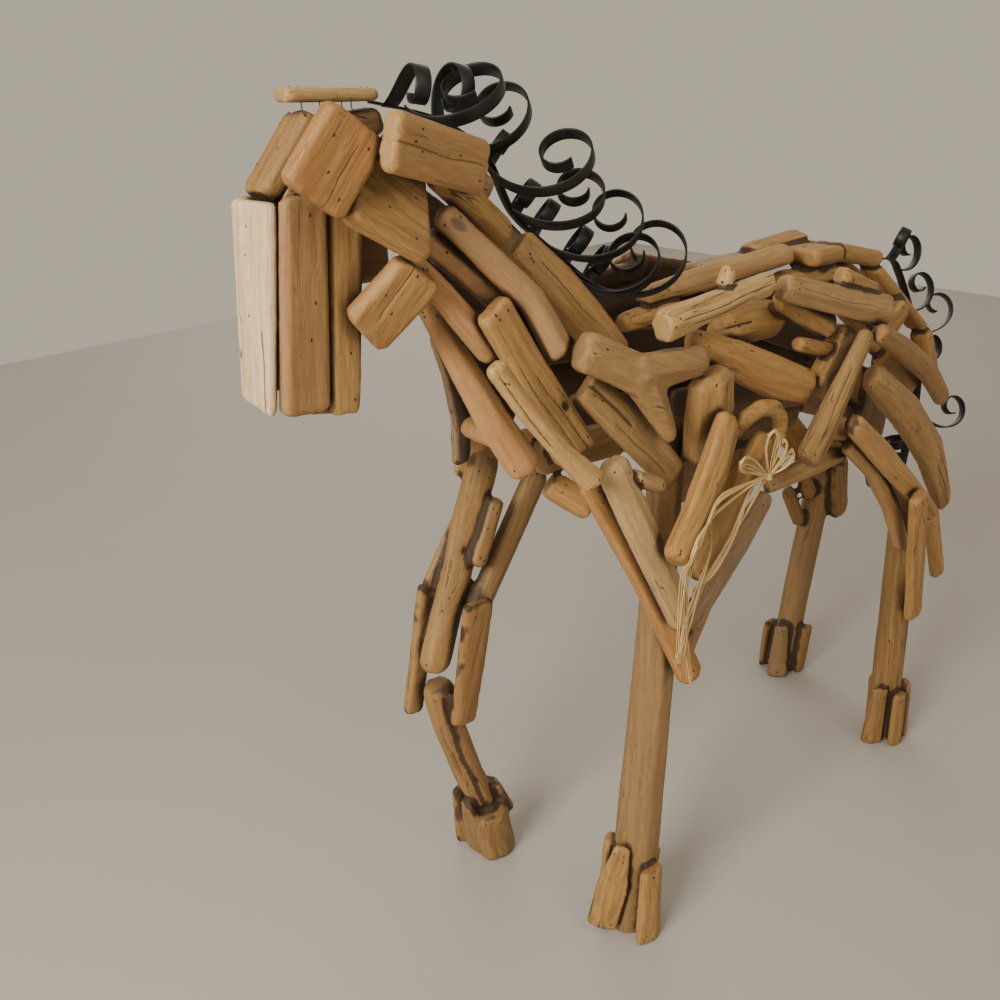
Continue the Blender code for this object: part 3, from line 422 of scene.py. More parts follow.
def number_faces(solid):
    """The number of the stick that each face belongs to."""
    number = [-1] * len(solid.faces)
    count = 0
    for first in solid.faces:
        if number[first.index] >= 0:
            continue
        number[first.index] = count
        todo = [first]
        while todo:
            for edge in todo.pop().edges:
                if edge.calc_face_angle_signed(0) < -FOLD:
                    continue
                for other in edge.link_faces:
                    if number[other.index] < 0:
                        number[other.index] = count
                        todo.append(other)
        count += 1
    return np.array(number)


class Limb:
    """One stick: its middle, its own axes with Z along the grain, its bend and its half sizes."""

    def __init__(self, corners, outward):
        sides = np.cross(corners[:, 1] - corners[:, 0], corners[:, 2] - corners[:, 0])
        area = np.linalg.norm(sides, axis=1) / 2
        place = corners.mean(1)
        self.middle = (place * area[:, None]).sum(0) / area.sum()
        offset = place - self.middle
        looks = sides / np.maximum(2 * area, 1e-12)[:, None]
        spread, ways = np.linalg.eigh((looks * area[:, None]).T @ looks)
        along = ways[:, 0]  # the way that the fewest faces look
        if along @ (0.5, 0, -1) < 0:  # the grain runs down, or back where it lies level
            along = -along
        if spread[2] > FLAT * spread[1]:
            face = ways[:, 2] * np.sign(ways[:, 2] @ outward)
        else:
            face = outward - along * (outward @ along)
            face /= np.linalg.norm(face)
        self.axes = np.array((np.cross(face, along), face, along))
        side = np.abs(sides @ along) < 0.5 * np.linalg.norm(sides, axis=1)
        across = (offset[side] @ self.axes.T) / MM
        long = len(across) > 0 and np.ptp(across[:, 2]) > LONG * np.ptp(across[:, 0])
        degree = 2 if long and side.sum() > MANY_FACES else 0
        weight = np.sqrt(area[side])
        self.bend = [np.polyfit(across[:, 2], across[:, axis], degree, w=weight)
                     for axis in (0, 1)]
        local = self.place(corners.reshape(-1, 3))
        self.half = (local.max(0) - local.min(0)) / 2
        self.shift = (local.max(0) + local.min(0)) / 2

    def place(self, points):
        """Points in the stick's own millimetres, with its bend taken out."""
        local = (points - self.middle) @ self.axes.T / MM
        local[:, 0] -= np.polyval(self.bend[0], local[:, 2])
        local[:, 1] -= np.polyval(self.bend[1], local[:, 2])
        return local

    def point(self, across, along):
        """A point in the middle of the thickness: across from -1 to 1, along from 0 to 1."""
        z = self.shift[2] + (2 * along - 1) * self.half[2]
        x = np.polyval(self.bend[0], z) + self.shift[0] + across * self.half[0]
        y = np.polyval(self.bend[1], z) + self.shift[1]
        return Vector(self.middle + np.array((x, y, z)) * MM @ self.axes)


def limbs_of(solid, outward):
    """The sticks of a solid, the number of the stick for each face, and a tree of those faces."""
    number = number_faces(solid)
    corners = np.array([[v.co[:] for v in face.verts] for face in solid.faces])
    area = np.array([face.calc_area() for face in solid.faces])
    share = np.bincount(number, area) / area.sum()
    large = [k for k in range(len(share)) if share[k] > SMALL_SHARE]
    kept = np.flatnonzero(np.isin(number, large))
    tree = BVHTree.FromPolygons([v.co for v in solid.verts],
                                [[v.index for v in solid.faces[k].verts] for k in kept])
    limbs = [Limb(corners[number == k], np.array(outward)) for k in large]
    return limbs, [large.index(number[k]) for k in kept], tree


print("stick finder ready")

# %% [markdown]
# ## From solid to worn wood
# Rebuilding a solid from small cells gives it an even skin whose edges can be worn round by
# letting every point drift towards its neighbours, more for a branch than for a sawn plank. A
# point in a fold is held back, so the joint between two sticks stays sharp. Then the skin swells
# and sinks a little along the grain, and near the ends, which the sea has battered, it does so
# more.

# %% Noise for shapes
def scramble(x, y, z, seed):
    """A number from -1 to 1 for each corner of a grid of cells."""
    mixed = (x * 374761393 + y * 668265263 + z * 2147483647 + seed * 144665) & 0xFFFFFFFF
    mixed = ((mixed ^ (mixed >> 13)) * 1274126177) & 0xFFFFFFFF
    return ((mixed ^ (mixed >> 16)) & 0xFFFF) / 32767.5 - 1


def lumps(place, scale, seed):
    """Soft bumps around zero, of the given size along each axis."""
    cell = place / np.array(scale)
    base = np.floor(cell).astype(np.int64)
    part = cell - base
    part = part * part * (3 - 2 * part)
    total = np.zeros(len(place))
    for corner in np.ndindex(2, 2, 2):
        weight = np.prod(np.where(corner, part, 1 - part), axis=1)
        total += weight * scramble(*(base + corner).T, seed)
    return total


print("noise at the origin:", round(float(lumps(np.zeros((1, 3)), (5, 5, 50), 1)[0]), 3))

# %% Wear a solid round
SAWN = ("plank", "slat", "board", "block")  # words for pieces whose edges stay crisper
ROUNDS_SAWN, ROUNDS_ROUND = 1, 7  # rounds of wear for sawn pieces and for branches


def fine_skin(name, solid, cell):
    """The solid's skin in even cells, as a mesh."""
    rough = bpy.data.meshes.new(name)
    solid.to_mesh(rough)
    holder = add_object(name, rough)
    remesh = holder.modifiers.new("cells", "REMESH")
    remesh.mode, remesh.voxel_size = "VOXEL", cell * MM
    graph = bpy.context.evaluated_depsgraph_get()
    skin = bpy.data.meshes.new_from_object(holder.evaluated_get(graph))
    bpy.data.objects.remove(holder)
    bpy.data.meshes.remove(rough)
    return skin


def vectors(rows, name):
    """One vector for each point of a mesh."""
    flat = np.empty(len(rows) * 3, np.float32)
    rows.foreach_get(name, flat)
    return flat.reshape(-1, 3).astype(float)


def points_of(mesh):
    return vectors(mesh.vertices, "co")


def normals_of(mesh):
    return vectors(mesh.vertex_normals, "vector")


def neighbours(mesh):
    """The pairs of points that share an edge, both ways round, and how many each point has."""
    flat = np.empty(len(mesh.edges) * 2, np.int32)
    mesh.edges.foreach_get("vertices", flat)
    pairs = flat.reshape(-1, 2)
    pairs = np.concatenate([pairs, pairs[:, ::-1]])
    return pairs, np.bincount(pairs[:, 0], minlength=len(mesh.vertices))


def drift(points, pairs, count):
    """How far each point is from the middle of its neighbours."""
    total = np.stack([np.bincount(pairs[:, 0], points[pairs[:, 1], axis], len(points))
                      for axis in range(3)], axis=1)
    return total / count[:, None] - points


def averaged(values, pairs, count, rounds):
    """Evens out one number for each point."""
    for _ in range(rounds):
        around = np.bincount(pairs[:, 0], values[pairs[:, 1]], len(values)) / count
        values = (values + around) / 2
    return values


def set_points(mesh, points):
    mesh.vertices.foreach_set("co", points.astype(np.float32).ravel())
    mesh.update()


def hold(mesh, name, values):
    """Keeps a vector for each point in the mesh, for the finish to read."""
    kept = mesh.attributes.new(name, "FLOAT_VECTOR", "POINT")
    kept.data.foreach_set("vector", values.astype(np.float32).ravel())


print("rounds of wear:", ROUNDS_SAWN, "on sawn wood and", ROUNDS_ROUND, "on branches")

# %% [markdown]
# ## Scars
# A few sticks are known by their scars: the black hole left by a branch, the long splits of the
# breast plank, the rotten furrow down the right fore cannon. Each is stated by its place on the
# stick: across it from -1 at one edge to 1 at the other, and along it from 0 at the upper end to
# 1 at the lower. A knot has one place along and a size, a split has its start, its end and half
# its width.

# %% The scars
SCARS = {
    "knot_stick": [("knot", 0.05, 0.10, 1.9)],
    "cracked_breast_plank": [("split", -0.40, 0.30, 1.00, 0.35), ("split", 0.16, 0.42, 1.0, 0.6),
                             ("split", 0.70, 0.55, 1.0, 0.4), ("knot", 0.50, 0.68, 1.3)],
    "left_nape_plank": [("split", 0.0, 0.0, 0.95, 0.6)],
    "right_forearm": [("knot", 0.1, 0.42, 1.1)],
    "split_end_log": [("split", 0.1, 0.0, 0.35, 1.0)],
    "left_cheek_plank": [("split", 0.55, 0.1, 0.9, 0.4)],
    "left_temple_plank": [("split", 0.25, 0.2, 1.0, 0.35)],
    "left_jowl_plank": [("split", -0.2, 0.0, 0.7, 0.4)],
    "split_shoulder_board": [("split", 0.1, 0.0, 0.45, 1.4), ("split", -0.45, 0.3, 0.9, 0.5)],
    "left_crest_plank": [("split", 0.1, 0.15, 0.7, 0.5)],
    "diagonal_flank_stick": [("split", 0.1, 0.1, 0.95, 0.6), ("split", -0.5, 0.3, 0.9, 0.4)],
    "sawn_wither_branch": [("split", -0.1, 0.1, 0.95, 0.5), ("split", -0.5, 0.2, 0.8, 0.4)],
    "left_croup_plank": [("split", 0.1, 0.1, 0.8, 0.4)],
    "pale_breast_slat": [("split", -0.2, 0.05, 0.6, 0.5)],
    "left_elbow_plank": [("split", 0.3, 0.1, 0.7, 0.6)],
    "forked_shoulder_piece": [("knot", 0.0, 0.75, 0.7)],
    "right_fore_cannon": [("split", 0.1, 0.05, 0.95, 2.8)],
    "long_thigh_stick": [("split", 0.2, 0.62, 1.0, 0.9), ("split", -0.3, 0.7, 1.0, 0.7)],
    "nose_bridge_plank": [("split", -0.60, 0.05, 0.9, 0.3), ("split", 0.45, 0.58, 1.0, 0.9),
                          ("knot", -0.70, 0.73, 0.7)],
}
FAR, NO_SPLIT = 60.0, -5.0  # millimetres: no scar near, and no split here
UNSCARRED = (FAR, FAR, NO_SPLIT)
KNOT_SQUEEZE = 0.62  # a knot reaches further along the grain than across it
TAPER = 0.25  # the share of a split's length in which it opens from its tip
SPLIT_SHOULDER = 1.5  # millimetres: beyond this, a split leaves the wood alone


def scars_on(limb, place, scars):
    """For each point: distance to a knot, signed distance to a split, half width of that split."""
    found = np.tile(UNSCARRED, (len(place), 1))
    front = place[:, 1] > limb.shift[1] - 0.2 * limb.half[1]
    for kind, across, *more in scars:
        if kind == "knot":
            along, size = more
            off = place - (limb.shift + limb.half * (across, 0.9, 2 * along - 1))
            squeezed = (off[:, 2] * KNOT_SQUEEZE) ** 2
            distance = np.sqrt(off[:, 0] ** 2 + off[:, 1] ** 2 + squeezed) / size
            found[:, 0] = np.minimum(found[:, 0], distance)
            continue
        start, stop, width = more
        share = (place[:, 2] - limb.shift[2]) / limb.half[2] / 2 + 0.5
        tip = (TAPER * (stop - start)) ** 2
        inside = np.clip((share - start) * (stop - share) / tip, 0, 1)
        level = place * (0, 0, 1)
        wander = lumps(level, (9, 9, 40), 5) * 1.3 + lumps(level, (9, 9, 7), 6) * 0.4
        signed = place[:, 0] - limb.shift[0] - across * limb.half[0] - wander
        nearer = front & (inside > 0) & (np.abs(signed) < np.abs(found[:, 1]))
        found[nearer, 1] = signed[nearer]
        found[nearer, 2] = width * np.sqrt(inside[nearer])
    found[np.abs(found[:, 1]) > found[:, 2] + SPLIT_SHOULDER, 2] = NO_SPLIT
    return found


print("scarred pieces:", len(SCARS))

# %% [markdown]
# ## The wood of the horse
# Every solid of wood is now worn, swelled along its grain and scarred, and a groove is pressed in
# where two of its sticks meet. What the finish needs is kept in the mesh: the place in the stick's
# own millimetres, the tone of the stick, its scars, and where its cut ends, its rubbed edges and
# its painted shade are. Shade is painted as far as the horse itself stands in the way of lines
# that go out from a place, in the grooves between its sticks, and on sides facing the body's
# hollow.

# %% Make one piece of wood
chance = random.Random(7)
CELL_NEAR, CELL_FAR = 1.8, 3.0  # millimetres: the skin's cells on the near and the far side
FAR_SIDE = ("right_", "inner_", "rump_")
DEEP_FOLD, LEAST_FREE = 0.10, 0.12  # a fold this deep, in cells, leaves a point this free
RIGHT, LEFT_FRONT = (0, 1, 0.3), (-0.5, -0.8, 0.3)  # the side that each stick shows
SEAM_DEPTH = 1.5  # millimetres: the groove between two sticks of one solid
DENT, KNOT_DENT = 0.9, 1.6  # millimetres: how deep splits and knots go in
KNOT_REACH = 3.5  # millimetres: how far around a knot the wood is pressed in
GRAIN_APART = 400.0  # millimetres between the patterns of two solids
BODY_LOW, BODY_FADE = 0.42, 0.06  # metres: where the hollow of the body starts, and its fade
TONES = {  # sticks that are darker or lighter than their finish
    "left_fore_post": 0.66, "left_hind_post": 0.72, "right_hind_post": 0.70,
    "right_fore_cannon": 0.72, "right_forearm": 0.78, "left_cheek_plank": 0.90,
    "left_temple_plank": 0.88, "left_jowl_plank": 0.80, "forehead_plank": 0.70,
    "diagonal_flank_stick": 0.74, "knot_stick": 0.96, "dark_elbow_slat": 0.75,
    # The nose bridge plank's lighter tone adds to the light painted on its lit front.
    "forked_shoulder_piece": 0.90, "left_nose_plank": 0.90, "nose_bridge_plank": 1.12,
    "right_breast_stick": 0.90, "left_neck_middle_stick": 0.86, "buttock_stick": 0.90,
}
CHIP_HALF, CHIP_TONE = 60, 1.45  # the bleached chips of the left fore foot: half length, tone
WOOD_SLOTS = {row["node"]: row["material_slot"] for row in frame["record"]["subparts"]}
# The lines below measure how closed in a place is, for the shade painted there.
REACH = 60 * MM  # how far away something can hide a place
BATTERED = 9  # millimetres at each end that the sea has battered
LINES = 9  # the lines that go out from a place
LIFT = 1.6 * MM  # the lines start this far above the skin
skins = {}
limb_lists = {}


def whole_horse():
    """One tree of all the solids."""
    places, faces = [], []
    for solid in frame["nodes"].values():
        mesh = solid.data
        start = len(places)
        places += [v.co[:] for v in mesh.vertices]
        faces += [[start + k for k in face.vertices] for face in mesh.polygons]
    return BVHTree.FromPolygons(places, faces)


def spread_lines(count):
    """Directions in a half sphere around Z, denser towards Z."""
    golden = math.pi * (3 - math.sqrt(5))
    rows = []
    for k in range(count):
        flat = math.sqrt((k + 0.5) / count)
        rows.append((flat * math.cos(k * golden), flat * math.sin(k * golden),
                     math.sqrt(1 - flat * flat)))
    return np.array(rows)


horse_tree = whole_horse()
lines = spread_lines(LINES)


def painted_shade_share(points, normals):
    """How much shade to paint: from 0 in the open to 1 where the horse is close on all sides."""
    helper = np.where(np.abs(normals[:, 2:]) < 0.9, (0.0, 0.0, 1.0), (1.0, 0.0, 0.0))
    x = np.cross(helper, normals)
    x /= np.linalg.norm(x, axis=1)[:, None]
    y = np.cross(normals, x)
    starts = points + normals * LIFT
    total = np.zeros(len(points))
    cast = horse_tree.ray_cast
    for a, b, c in lines:
        ways = x * a + y * b + normals * c
        total += [0.0 if hit is None else 1 - hit / REACH for hit in
                  (cast(start, way, REACH)[3] for start, way in zip(starts, ways))]
    return total / LINES


def swell(place, half, sawn, seed):
    """How far each point moves out, in millimetres: most near the battered ends."""
    lump, groove = (0.35, 0.22) if sawn else (0.75, 0.32)
    out = lump * lumps(place, (16, 16, 48), seed) + groove * lumps(place, (5.5, 5.5, 55), seed + 1)
    out += 0.12 * lumps(place, (3.5, 3.5, 12), seed + 2)
    ends = np.clip(1 - (half[2] - np.abs(place[:, 2])) / BATTERED, 0, 1)
    return out + ends * 0.7 * lumps(place, (6, 6, 6), seed + 3)


def pressed_in(scar):
    """How far the splits and knots draw each point in, in millimetres."""
    width = np.maximum(scar[:, 2], 0)
    split = np.clip(1.6 - np.abs(scar[:, 1]) / (width + 1), 0, 1) * np.minimum(width, DENT)
    return split, np.clip(1 - scar[:, 0] / KNOT_REACH, 0, 1) * KNOT_DENT


def make_wood(node, number):
    """Wears one solid into its visible piece and counts that piece's triangles."""
    solid = welded(node)
    far = node.startswith(FAR_SIDE) and node not in SCARS
    limbs, owner, tree = limbs_of(solid, RIGHT if far else LEFT_FRONT)
    sawn = any(word in node for word in SAWN)
    cell = CELL_FAR if node.startswith(FAR_SIDE) else CELL_NEAR
    mesh = fine_skin(f"{node}_wood", solid, cell)
    solid.free()
    pairs, count = neighbours(mesh)
    points = points_of(mesh)
    fold = averaged((drift(points, pairs, count) * normals_of(mesh)).sum(1), pairs, count, 2)
    free = np.clip(1 - fold / (DEEP_FOLD * cell * MM), LEAST_FREE, 1)[:, None]
    for _ in range(ROUNDS_SAWN if sawn else ROUNDS_ROUND):
        points += drift(points, pairs, count) * 0.5 * free
    set_points(mesh, points)
    normals = normals_of(mesh)
    mine = np.array([owner[tree.find_nearest(p)[2]] for p in points])
    seam = np.bincount(pairs[:, 0], mine[pairs[:, 0]] != mine[pairs[:, 1]], len(points)) > 0
    seam = np.clip(averaged(seam.astype(float), pairs, count, 4) * 2.2, 0, 1)
    grain, scar = np.zeros_like(points), np.tile(UNSCARRED, (len(points), 1))
    lot, end, out = np.zeros_like(points), np.zeros(len(points)), np.zeros(len(points))
    largest = max(range(len(limbs)), key=lambda k: limbs[k].half[2])
    for k, limb in enumerate(limbs):
        held = mine == k
        place = limb.place(points[held])
        out[held] = swell(place, limb.half, sawn, 10 * number + k)
        if k == largest and node in SCARS:
            scar[held] = scars_on(limb, place, SCARS[node])
            for dent in pressed_in(scar[held]):
                out[held] -= dent
        end[held] = np.clip((np.abs(normals[held] @ limb.axes[2]) - 0.60) / 0.3, 0, 1)
        tone = chance.uniform(0.76, 0.92) * TONES.get(node, 1.0)
        if node == "left_fore_post" and limb.half[2] < CHIP_HALF:
            tone *= CHIP_TONE
        lot[held] = [tone, chance.random() ** 2, chance.random() ** 2]
        place[:, 2] += GRAIN_APART * (number + 0.13 * k)
        grain[held] = place
    out -= seam * SEAM_DEPTH
    points += normals * out[:, None] * MM
    bulge = -(drift(points, pairs, count) * normals).sum(1) / (cell * MM)
    edge = np.clip(bulge * 9 - 0.35, 0, 1)
    set_points(mesh, points)
    painted_shade = averaged(painted_shade_share(points, normals), pairs, count, 3)
    # Sides that face the hollow of the body, above BODY_LOW, get painted shade as well.
    inward_painted_shade = np.clip(normals[:, 1] * np.sign(-points[:, 1]) * 1.3 - 0.2, 0, 1)
    high = np.clip((points[:, 2] - BODY_LOW) / BODY_FADE, 0, 1)
    painted_shade = np.maximum(painted_shade, inward_painted_shade * high * 0.8)
    hold(mesh, "grain", grain)
    hold(mesh, "scar", scar)
    hold(mesh, "lot", lot)
    # The third part of the skin is painted shade: closed-in places and, a little less, the seams
    # between sticks.
    hold(mesh, "skin", np.stack([end, edge, np.maximum(painted_shade, seam * 0.9)], axis=1))
    mesh.shade_smooth()
    slot = WOOD_SLOTS[node]
    # The nose bridge plank's paler finish is painted light on its lit front.
    finish = "painted_light_face_wood" if node == "nose_bridge_plank" else slot
    piece = add_piece(f"{node}_wood", mesh, slot, finish)
    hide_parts(node)
    limb_lists[node] = limbs
    skins[node] = BVHTree.FromPolygons(points, [p.vertices[:] for p in mesh.polygons])
    return len(mesh.polygons) * 2


NOT_WOOD = ("mane_strips", "tail_strips", "raffia_bow")
wood_nodes = sorted(set(frame["nodes"]) - set(NOT_WOOD))
sizes = [make_wood(node, k) for k, node in enumerate(wood_nodes)]
print("pieces of wood:", len(sizes), "triangles:", sum(sizes), "most in one:", max(sizes))

# %% [markdown]
# ## Black strips of the mane and tail
# The strips are flat steel, about as wide as a finger, rolled up from one end so that the curl
# tightens towards its tip. They are rebuilt here as fine ribbons with softened edges. Each curl is
# stated by where it leaves its bar, by its slope, splay and first heading, and by its length and
# its first and last radius.

# %% Curls
STRIP_WIDTH, STRIP_THICK = 11.0, 1.6  # millimetres
TIGHTEN, EASE = 1.6, 1.35  # the bend grows late, and the steps get shorter towards the tip
STRIP_CREASE = math.radians(50)  # only edges sharper than this look sharp
MANE_BAR = [(-396, 785), (-338, 769), (-296, 740), (-270, 694), (-232, 661), (-203, 638),
            (-170, 613)]
MANE = [
    (-366, 777, 59, 78, -25, 204, 45, 15), (-301, 744, 46, 66, 26, 161, 40, 12),
    (-300, 743, 52, 70, -41, 224, 79, 13), (-271, 695, 57, 62, -6, 191, 67, 11),
    (-233, 662, 45, 60, -7, 206, 74, 12), (-206, 640, 47, 70, -39, 221, 51, 13),
    (-204, 638, 45, 59, -19, 211, 84, 17), (-382, 781, 11, -72, 167, 112, -50, 7),
    (-338, 769, 11, -83, 57, 119, 27, 12), (-292, 734, 45, -60, 20, 64, 16, 8),
    (-268, 692, 45, -60, 20, 80, 18, 9), (-247, 674, 45, -60, 15, 84, 18, 9),
    (-212, 645, 45, -60, 15, 96, 20, 10), (-186, 625, 45, -60, 15, 96, 20, 10),
]
TAIL_BAR = [(226, 577), (262, 576), (300, 570), (320, 551), (354, 500), (374, 467), (386, 430),
            (388, 380), (379, 335), (364, 268)]
TAIL = [
    (314, 557, 52, 15, 26, 108, 32, 9), (354, 500, 49, 27, 42, 117, 43, 8),
    (373, 469, 38, 43, 25, 122, 68, 9), (386, 430, 68, 26, 51, 67, 74, 10),
    (387, 372, 44, 31, -18, 155, 98, 9), (298, 571, 50, -30, 40, 90, 24, 9),
    (374, 310, 80, -80, -10, 150, 70, 9), (365, 272, 80, -78, -20, 150, 70, 9),
]


def curl(x, z, slope, splay, heading, length, first, last, stations=90):
    """Middle line of a curl, in millimetres, and the direction of its width."""
    slope, splay, angle = (math.radians(turn) for turn in (slope, splay, heading))
    down = Vector((math.cos(slope), 0, -math.sin(slope)))
    up = Vector((math.sin(slope), 0, math.cos(slope)))
    ahead = down * math.cos(splay) + Vector((0, -1, 0)) * math.sin(splay)
    at = Vector((x, 0, z))
    path, reached = [at.copy()], 0.0
    for k in range(stations):
        share = 1 - (1 - (k + 1) / stations) ** EASE
        step = (share - reached) * length
        bend = 1 / first + (1 / last - 1 / first) * ((share + reached) / 2) ** TIGHTEN
        angle += bend * step / 2
        at += (ahead * math.cos(angle) + up * math.sin(angle)) * step
        angle += bend * step / 2
        reached = share
        path.append(at.copy())
    return path, up.cross(ahead).normalized()


def soft_point(knots, i, t):
    """A point of the soft line through some places: the share t of the way from place i on."""
    last = len(knots) - 1
    before, a, b, after = (knots[j] for j in (max(i - 1, 0), i, i + 1, min(i + 2, last)))
    return 0.5 * (2 * a + (b - before) * t + (2 * before - 5 * a + 4 * b - after) * t * t
                  + (3 * a - before - 3 * b + after) * t ** 3)


def smooth_bar(places, stations=60):
    """A soft line through the stated places of a bar."""
    knots = [Vector((x, 0, z)) for x, z in places]
    spans = len(knots) - 1
    path = []
    for k in range(stations + 1):
        t = k / stations * spans
        i = min(int(t), spans - 1)
        path.append(soft_point(knots, i, t - i))
    return path


print("curls:", len(MANE), "in the mane and", len(TAIL), "in the tail")

# %% Ribbons
RIBBON_APART = 300.0  # millimetres between the patterns of two ribbons


def join_rings(body, rings):
    """Smooth faces between each ring of eight corners and the next one."""
    for near, far in zip(rings, rings[1:]):
        for i in range(8):
            k = (i + 1) % 8
            body.faces.new((near[i], near[k], far[k], far[i])).smooth = True


def add_ribbon(body, path, side, width, thick, number):
    """A flat strip with softened edges along a path, added to a bmesh, in millimetres."""
    layers = body.verts.layers.float_vector
    layer = layers.get("grain") or layers.new("grain")
    soft = thick * 0.3
    w, t = width / 2, thick / 2
    section = [(-w, -t + soft), (-w + soft, -t), (w - soft, -t), (w, -t + soft),
               (w, t - soft), (w - soft, t), (-w + soft, t), (-w, t - soft)]
    rings, run = [], 0.0
    for k, at in enumerate(path):
        ahead = (path[min(k + 1, len(path) - 1)] - path[max(k - 1, 0)]).normalized()
        across = (side - ahead * side.dot(ahead)).normalized()
        out = across.cross(ahead).normalized()
        run += (at - path[k - 1]).length if k else 0
        ring = []
        for x, y in section:
            vert = body.verts.new((at + across * x + out * y) * MM)
            vert[layer] = Vector((x, y, run + RIBBON_APART * number))
            ring.append(vert)
        rings.append(ring)
    join_rings(body, rings)
    body.faces.new(rings[0][::-1])
    body.faces.new(rings[-1])


def make_strips(node, bar, curls):
    """Draws a bar with its curls where its solid is, and returns how far they were shifted onto
    it.
    """
    body = bmesh.new()
    left = Vector((0, -1, 0))
    add_ribbon(body, smooth_bar(bar), left, STRIP_WIDTH, STRIP_THICK, 0)
    for k, row in enumerate(curls):
        path, side = curl(*row)
        add_ribbon(body, path, side, STRIP_WIDTH, STRIP_THICK, k + 1)
    bmesh.ops.recalc_face_normals(body, faces=body.faces)
    mesh = mesh_of(body, f"{node}_curls")
    points = points_of(mesh)
    low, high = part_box(node)
    shift = ((np.array(low) - points.min(0)) + (np.array(high) - points.max(0))) / 2
    set_points(mesh, points + shift)
    mesh.set_sharp_from_angle(angle=STRIP_CREASE)
    piece = add_piece(f"{node}_curls", mesh, "black_strip")
    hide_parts(node)
    return shift


mane_shift = make_strips("mane_strips", MANE_BAR, MANE)
tail_shift = make_strips("tail_strips", TAIL_BAR, TAIL)
print("mane shift in mm:", np.round(mane_shift / MM, 1), "tail:", np.round(tail_shift / MM, 1))

# %% [markdown]
# ## Nails
# Two or three thin nails hold each end of a stick, and their heads show as small dark dots. A nail
# is set where a line from outside meets the skin of its own stick before any other. The planks of
# the head have theirs further in, each stated by its place across and along the plank.

# %% Nail heads
NAIL_LINE = 60 * MM  # a nail's line starts this far from the middle of the stick
FROM_END, MOST_FROM_END = 9.0, 0.2  # millimetres from an end, and the most as a share
WIDE_HALF = 16  # millimetres: from this half width on, a stick has three nails at an end
NAIL_APART = 9.0  # millimetres between the patterns of two nails
NAIL_PLACES = {
    "nose_bridge_plank": [(-0.1, 0.12), (-0.2, 0.25), (-0.1, 0.53)],
    "left_nose_plank": [(0.1, 0.08), (0.28, 0.47), (0.1, 0.64)],
    "left_muzzle_plank": [(0.1, 0.70), (-0.4, 0.06), (0.3, 0.93)],
    "forehead_plank": [(-0.6, 0.17), (-0.6, 0.68), (0.5, 0.5)],
    "left_temple_plank": [(-0.5, 0.30), (0.5, 0.19), (-0.13, 0.65), (0.5, 0.82)],
    "left_cheek_plank": [(-0.35, 0.45), (0.25, 0.52), (-0.55, 0.78), (0.2, 0.66), (0.75, 0.62),
                         (0.4, 0.92)],
    "left_nape_plank": [(0.6, 0.22), (-0.1, 0.25), (0.15, 0.17), (0.15, 0.64), (-0.5, 0.9)],
    "left_jowl_plank": [(-0.5, 0.40), (0.0, 0.55), (0.0, 0.08)],
}
nail_body = bmesh.new()
nail_layer = nail_body.verts.layers.float_vector.new("grain")
nail_chance = random.Random(21)
nail_count = 0


def first_hit(origin, direction):
    """The node that a line meets first, the place and the normal there."""
    best = (None, None, None, 1.0)
    for node, tree in skins.items():
        place, normal, _, distance = tree.ray_cast(origin, direction, best[3])
        if place is not None:
            best = (node, place, normal, distance)
    return best[:3]


def add_nail(place, normal, along):
    """A low dome a little longer than wide, sunk into the wood."""
    global nail_count
    nail_count += 1
    z = normal.normalized()
    x = (along - z * along.dot(z)).normalized()
    y = z.cross(x)
    long, wide = nail_chance.uniform(1.0, 1.5) * MM, nail_chance.uniform(0.65, 0.85) * MM
    rings = []
    for share, height in ((1.0, -0.3), (1.0, 0.12), (0.6, 0.30)):
        ring = []
        for k in range(8):
            turn = math.pi * k / 4
            offset = (x * math.cos(turn) * long + y * math.sin(turn) * wide) * share
            vert = nail_body.verts.new(place + offset + z * height * MM)
            vert[nail_layer] = offset / MM + Vector((0, 0, nail_count * NAIL_APART))
            ring.append(vert)
        rings.append(ring)
    join_rings(nail_body, rings)
    nail_body.faces.new(rings[-1]).smooth = True
    nail_body.faces.new(rings[0][::-1])


def end_places(limb):
    """Two or three places near each end of a stick."""
    reach = min(FROM_END / (2 * limb.half[2]), MOST_FROM_END)
    return [(nail_chance.uniform(-0.55, 0.55), end + nail_chance.uniform(-0.04, 0.08))
            for end in (reach, 1 - reach) for _ in range(2 if limb.half[0] < WIDE_HALF else 3)]


for node in wood_nodes:
    if node.startswith("inner_"):
        continue
    for limb in limb_lists[node]:
        out, along = Vector(limb.axes[1]), Vector(limb.axes[2])
        for spot in NAIL_PLACES.get(node) or end_places(limb):
            for face in (out, -out):
                hit, place, normal = first_hit(limb.point(*spot) + face * NAIL_LINE, -face)
                if hit == node:
                    add_nail(place, normal, along)
add_piece("nail_heads", mesh_of(nail_body, "nail_heads"), "nails")
print("nails:", nail_count)

# %% [markdown]
# ## The raffia bow
# The bow is a bundle of straws tied in the middle: loops that come back to the knot and long loose
# ends that hang down over the foreleg. Each straw follows a few stated places in a soft line, a
# little astray from its neighbours, and is lifted until it lies clear of the wood. The bow gets
# the same small shift as the mane.

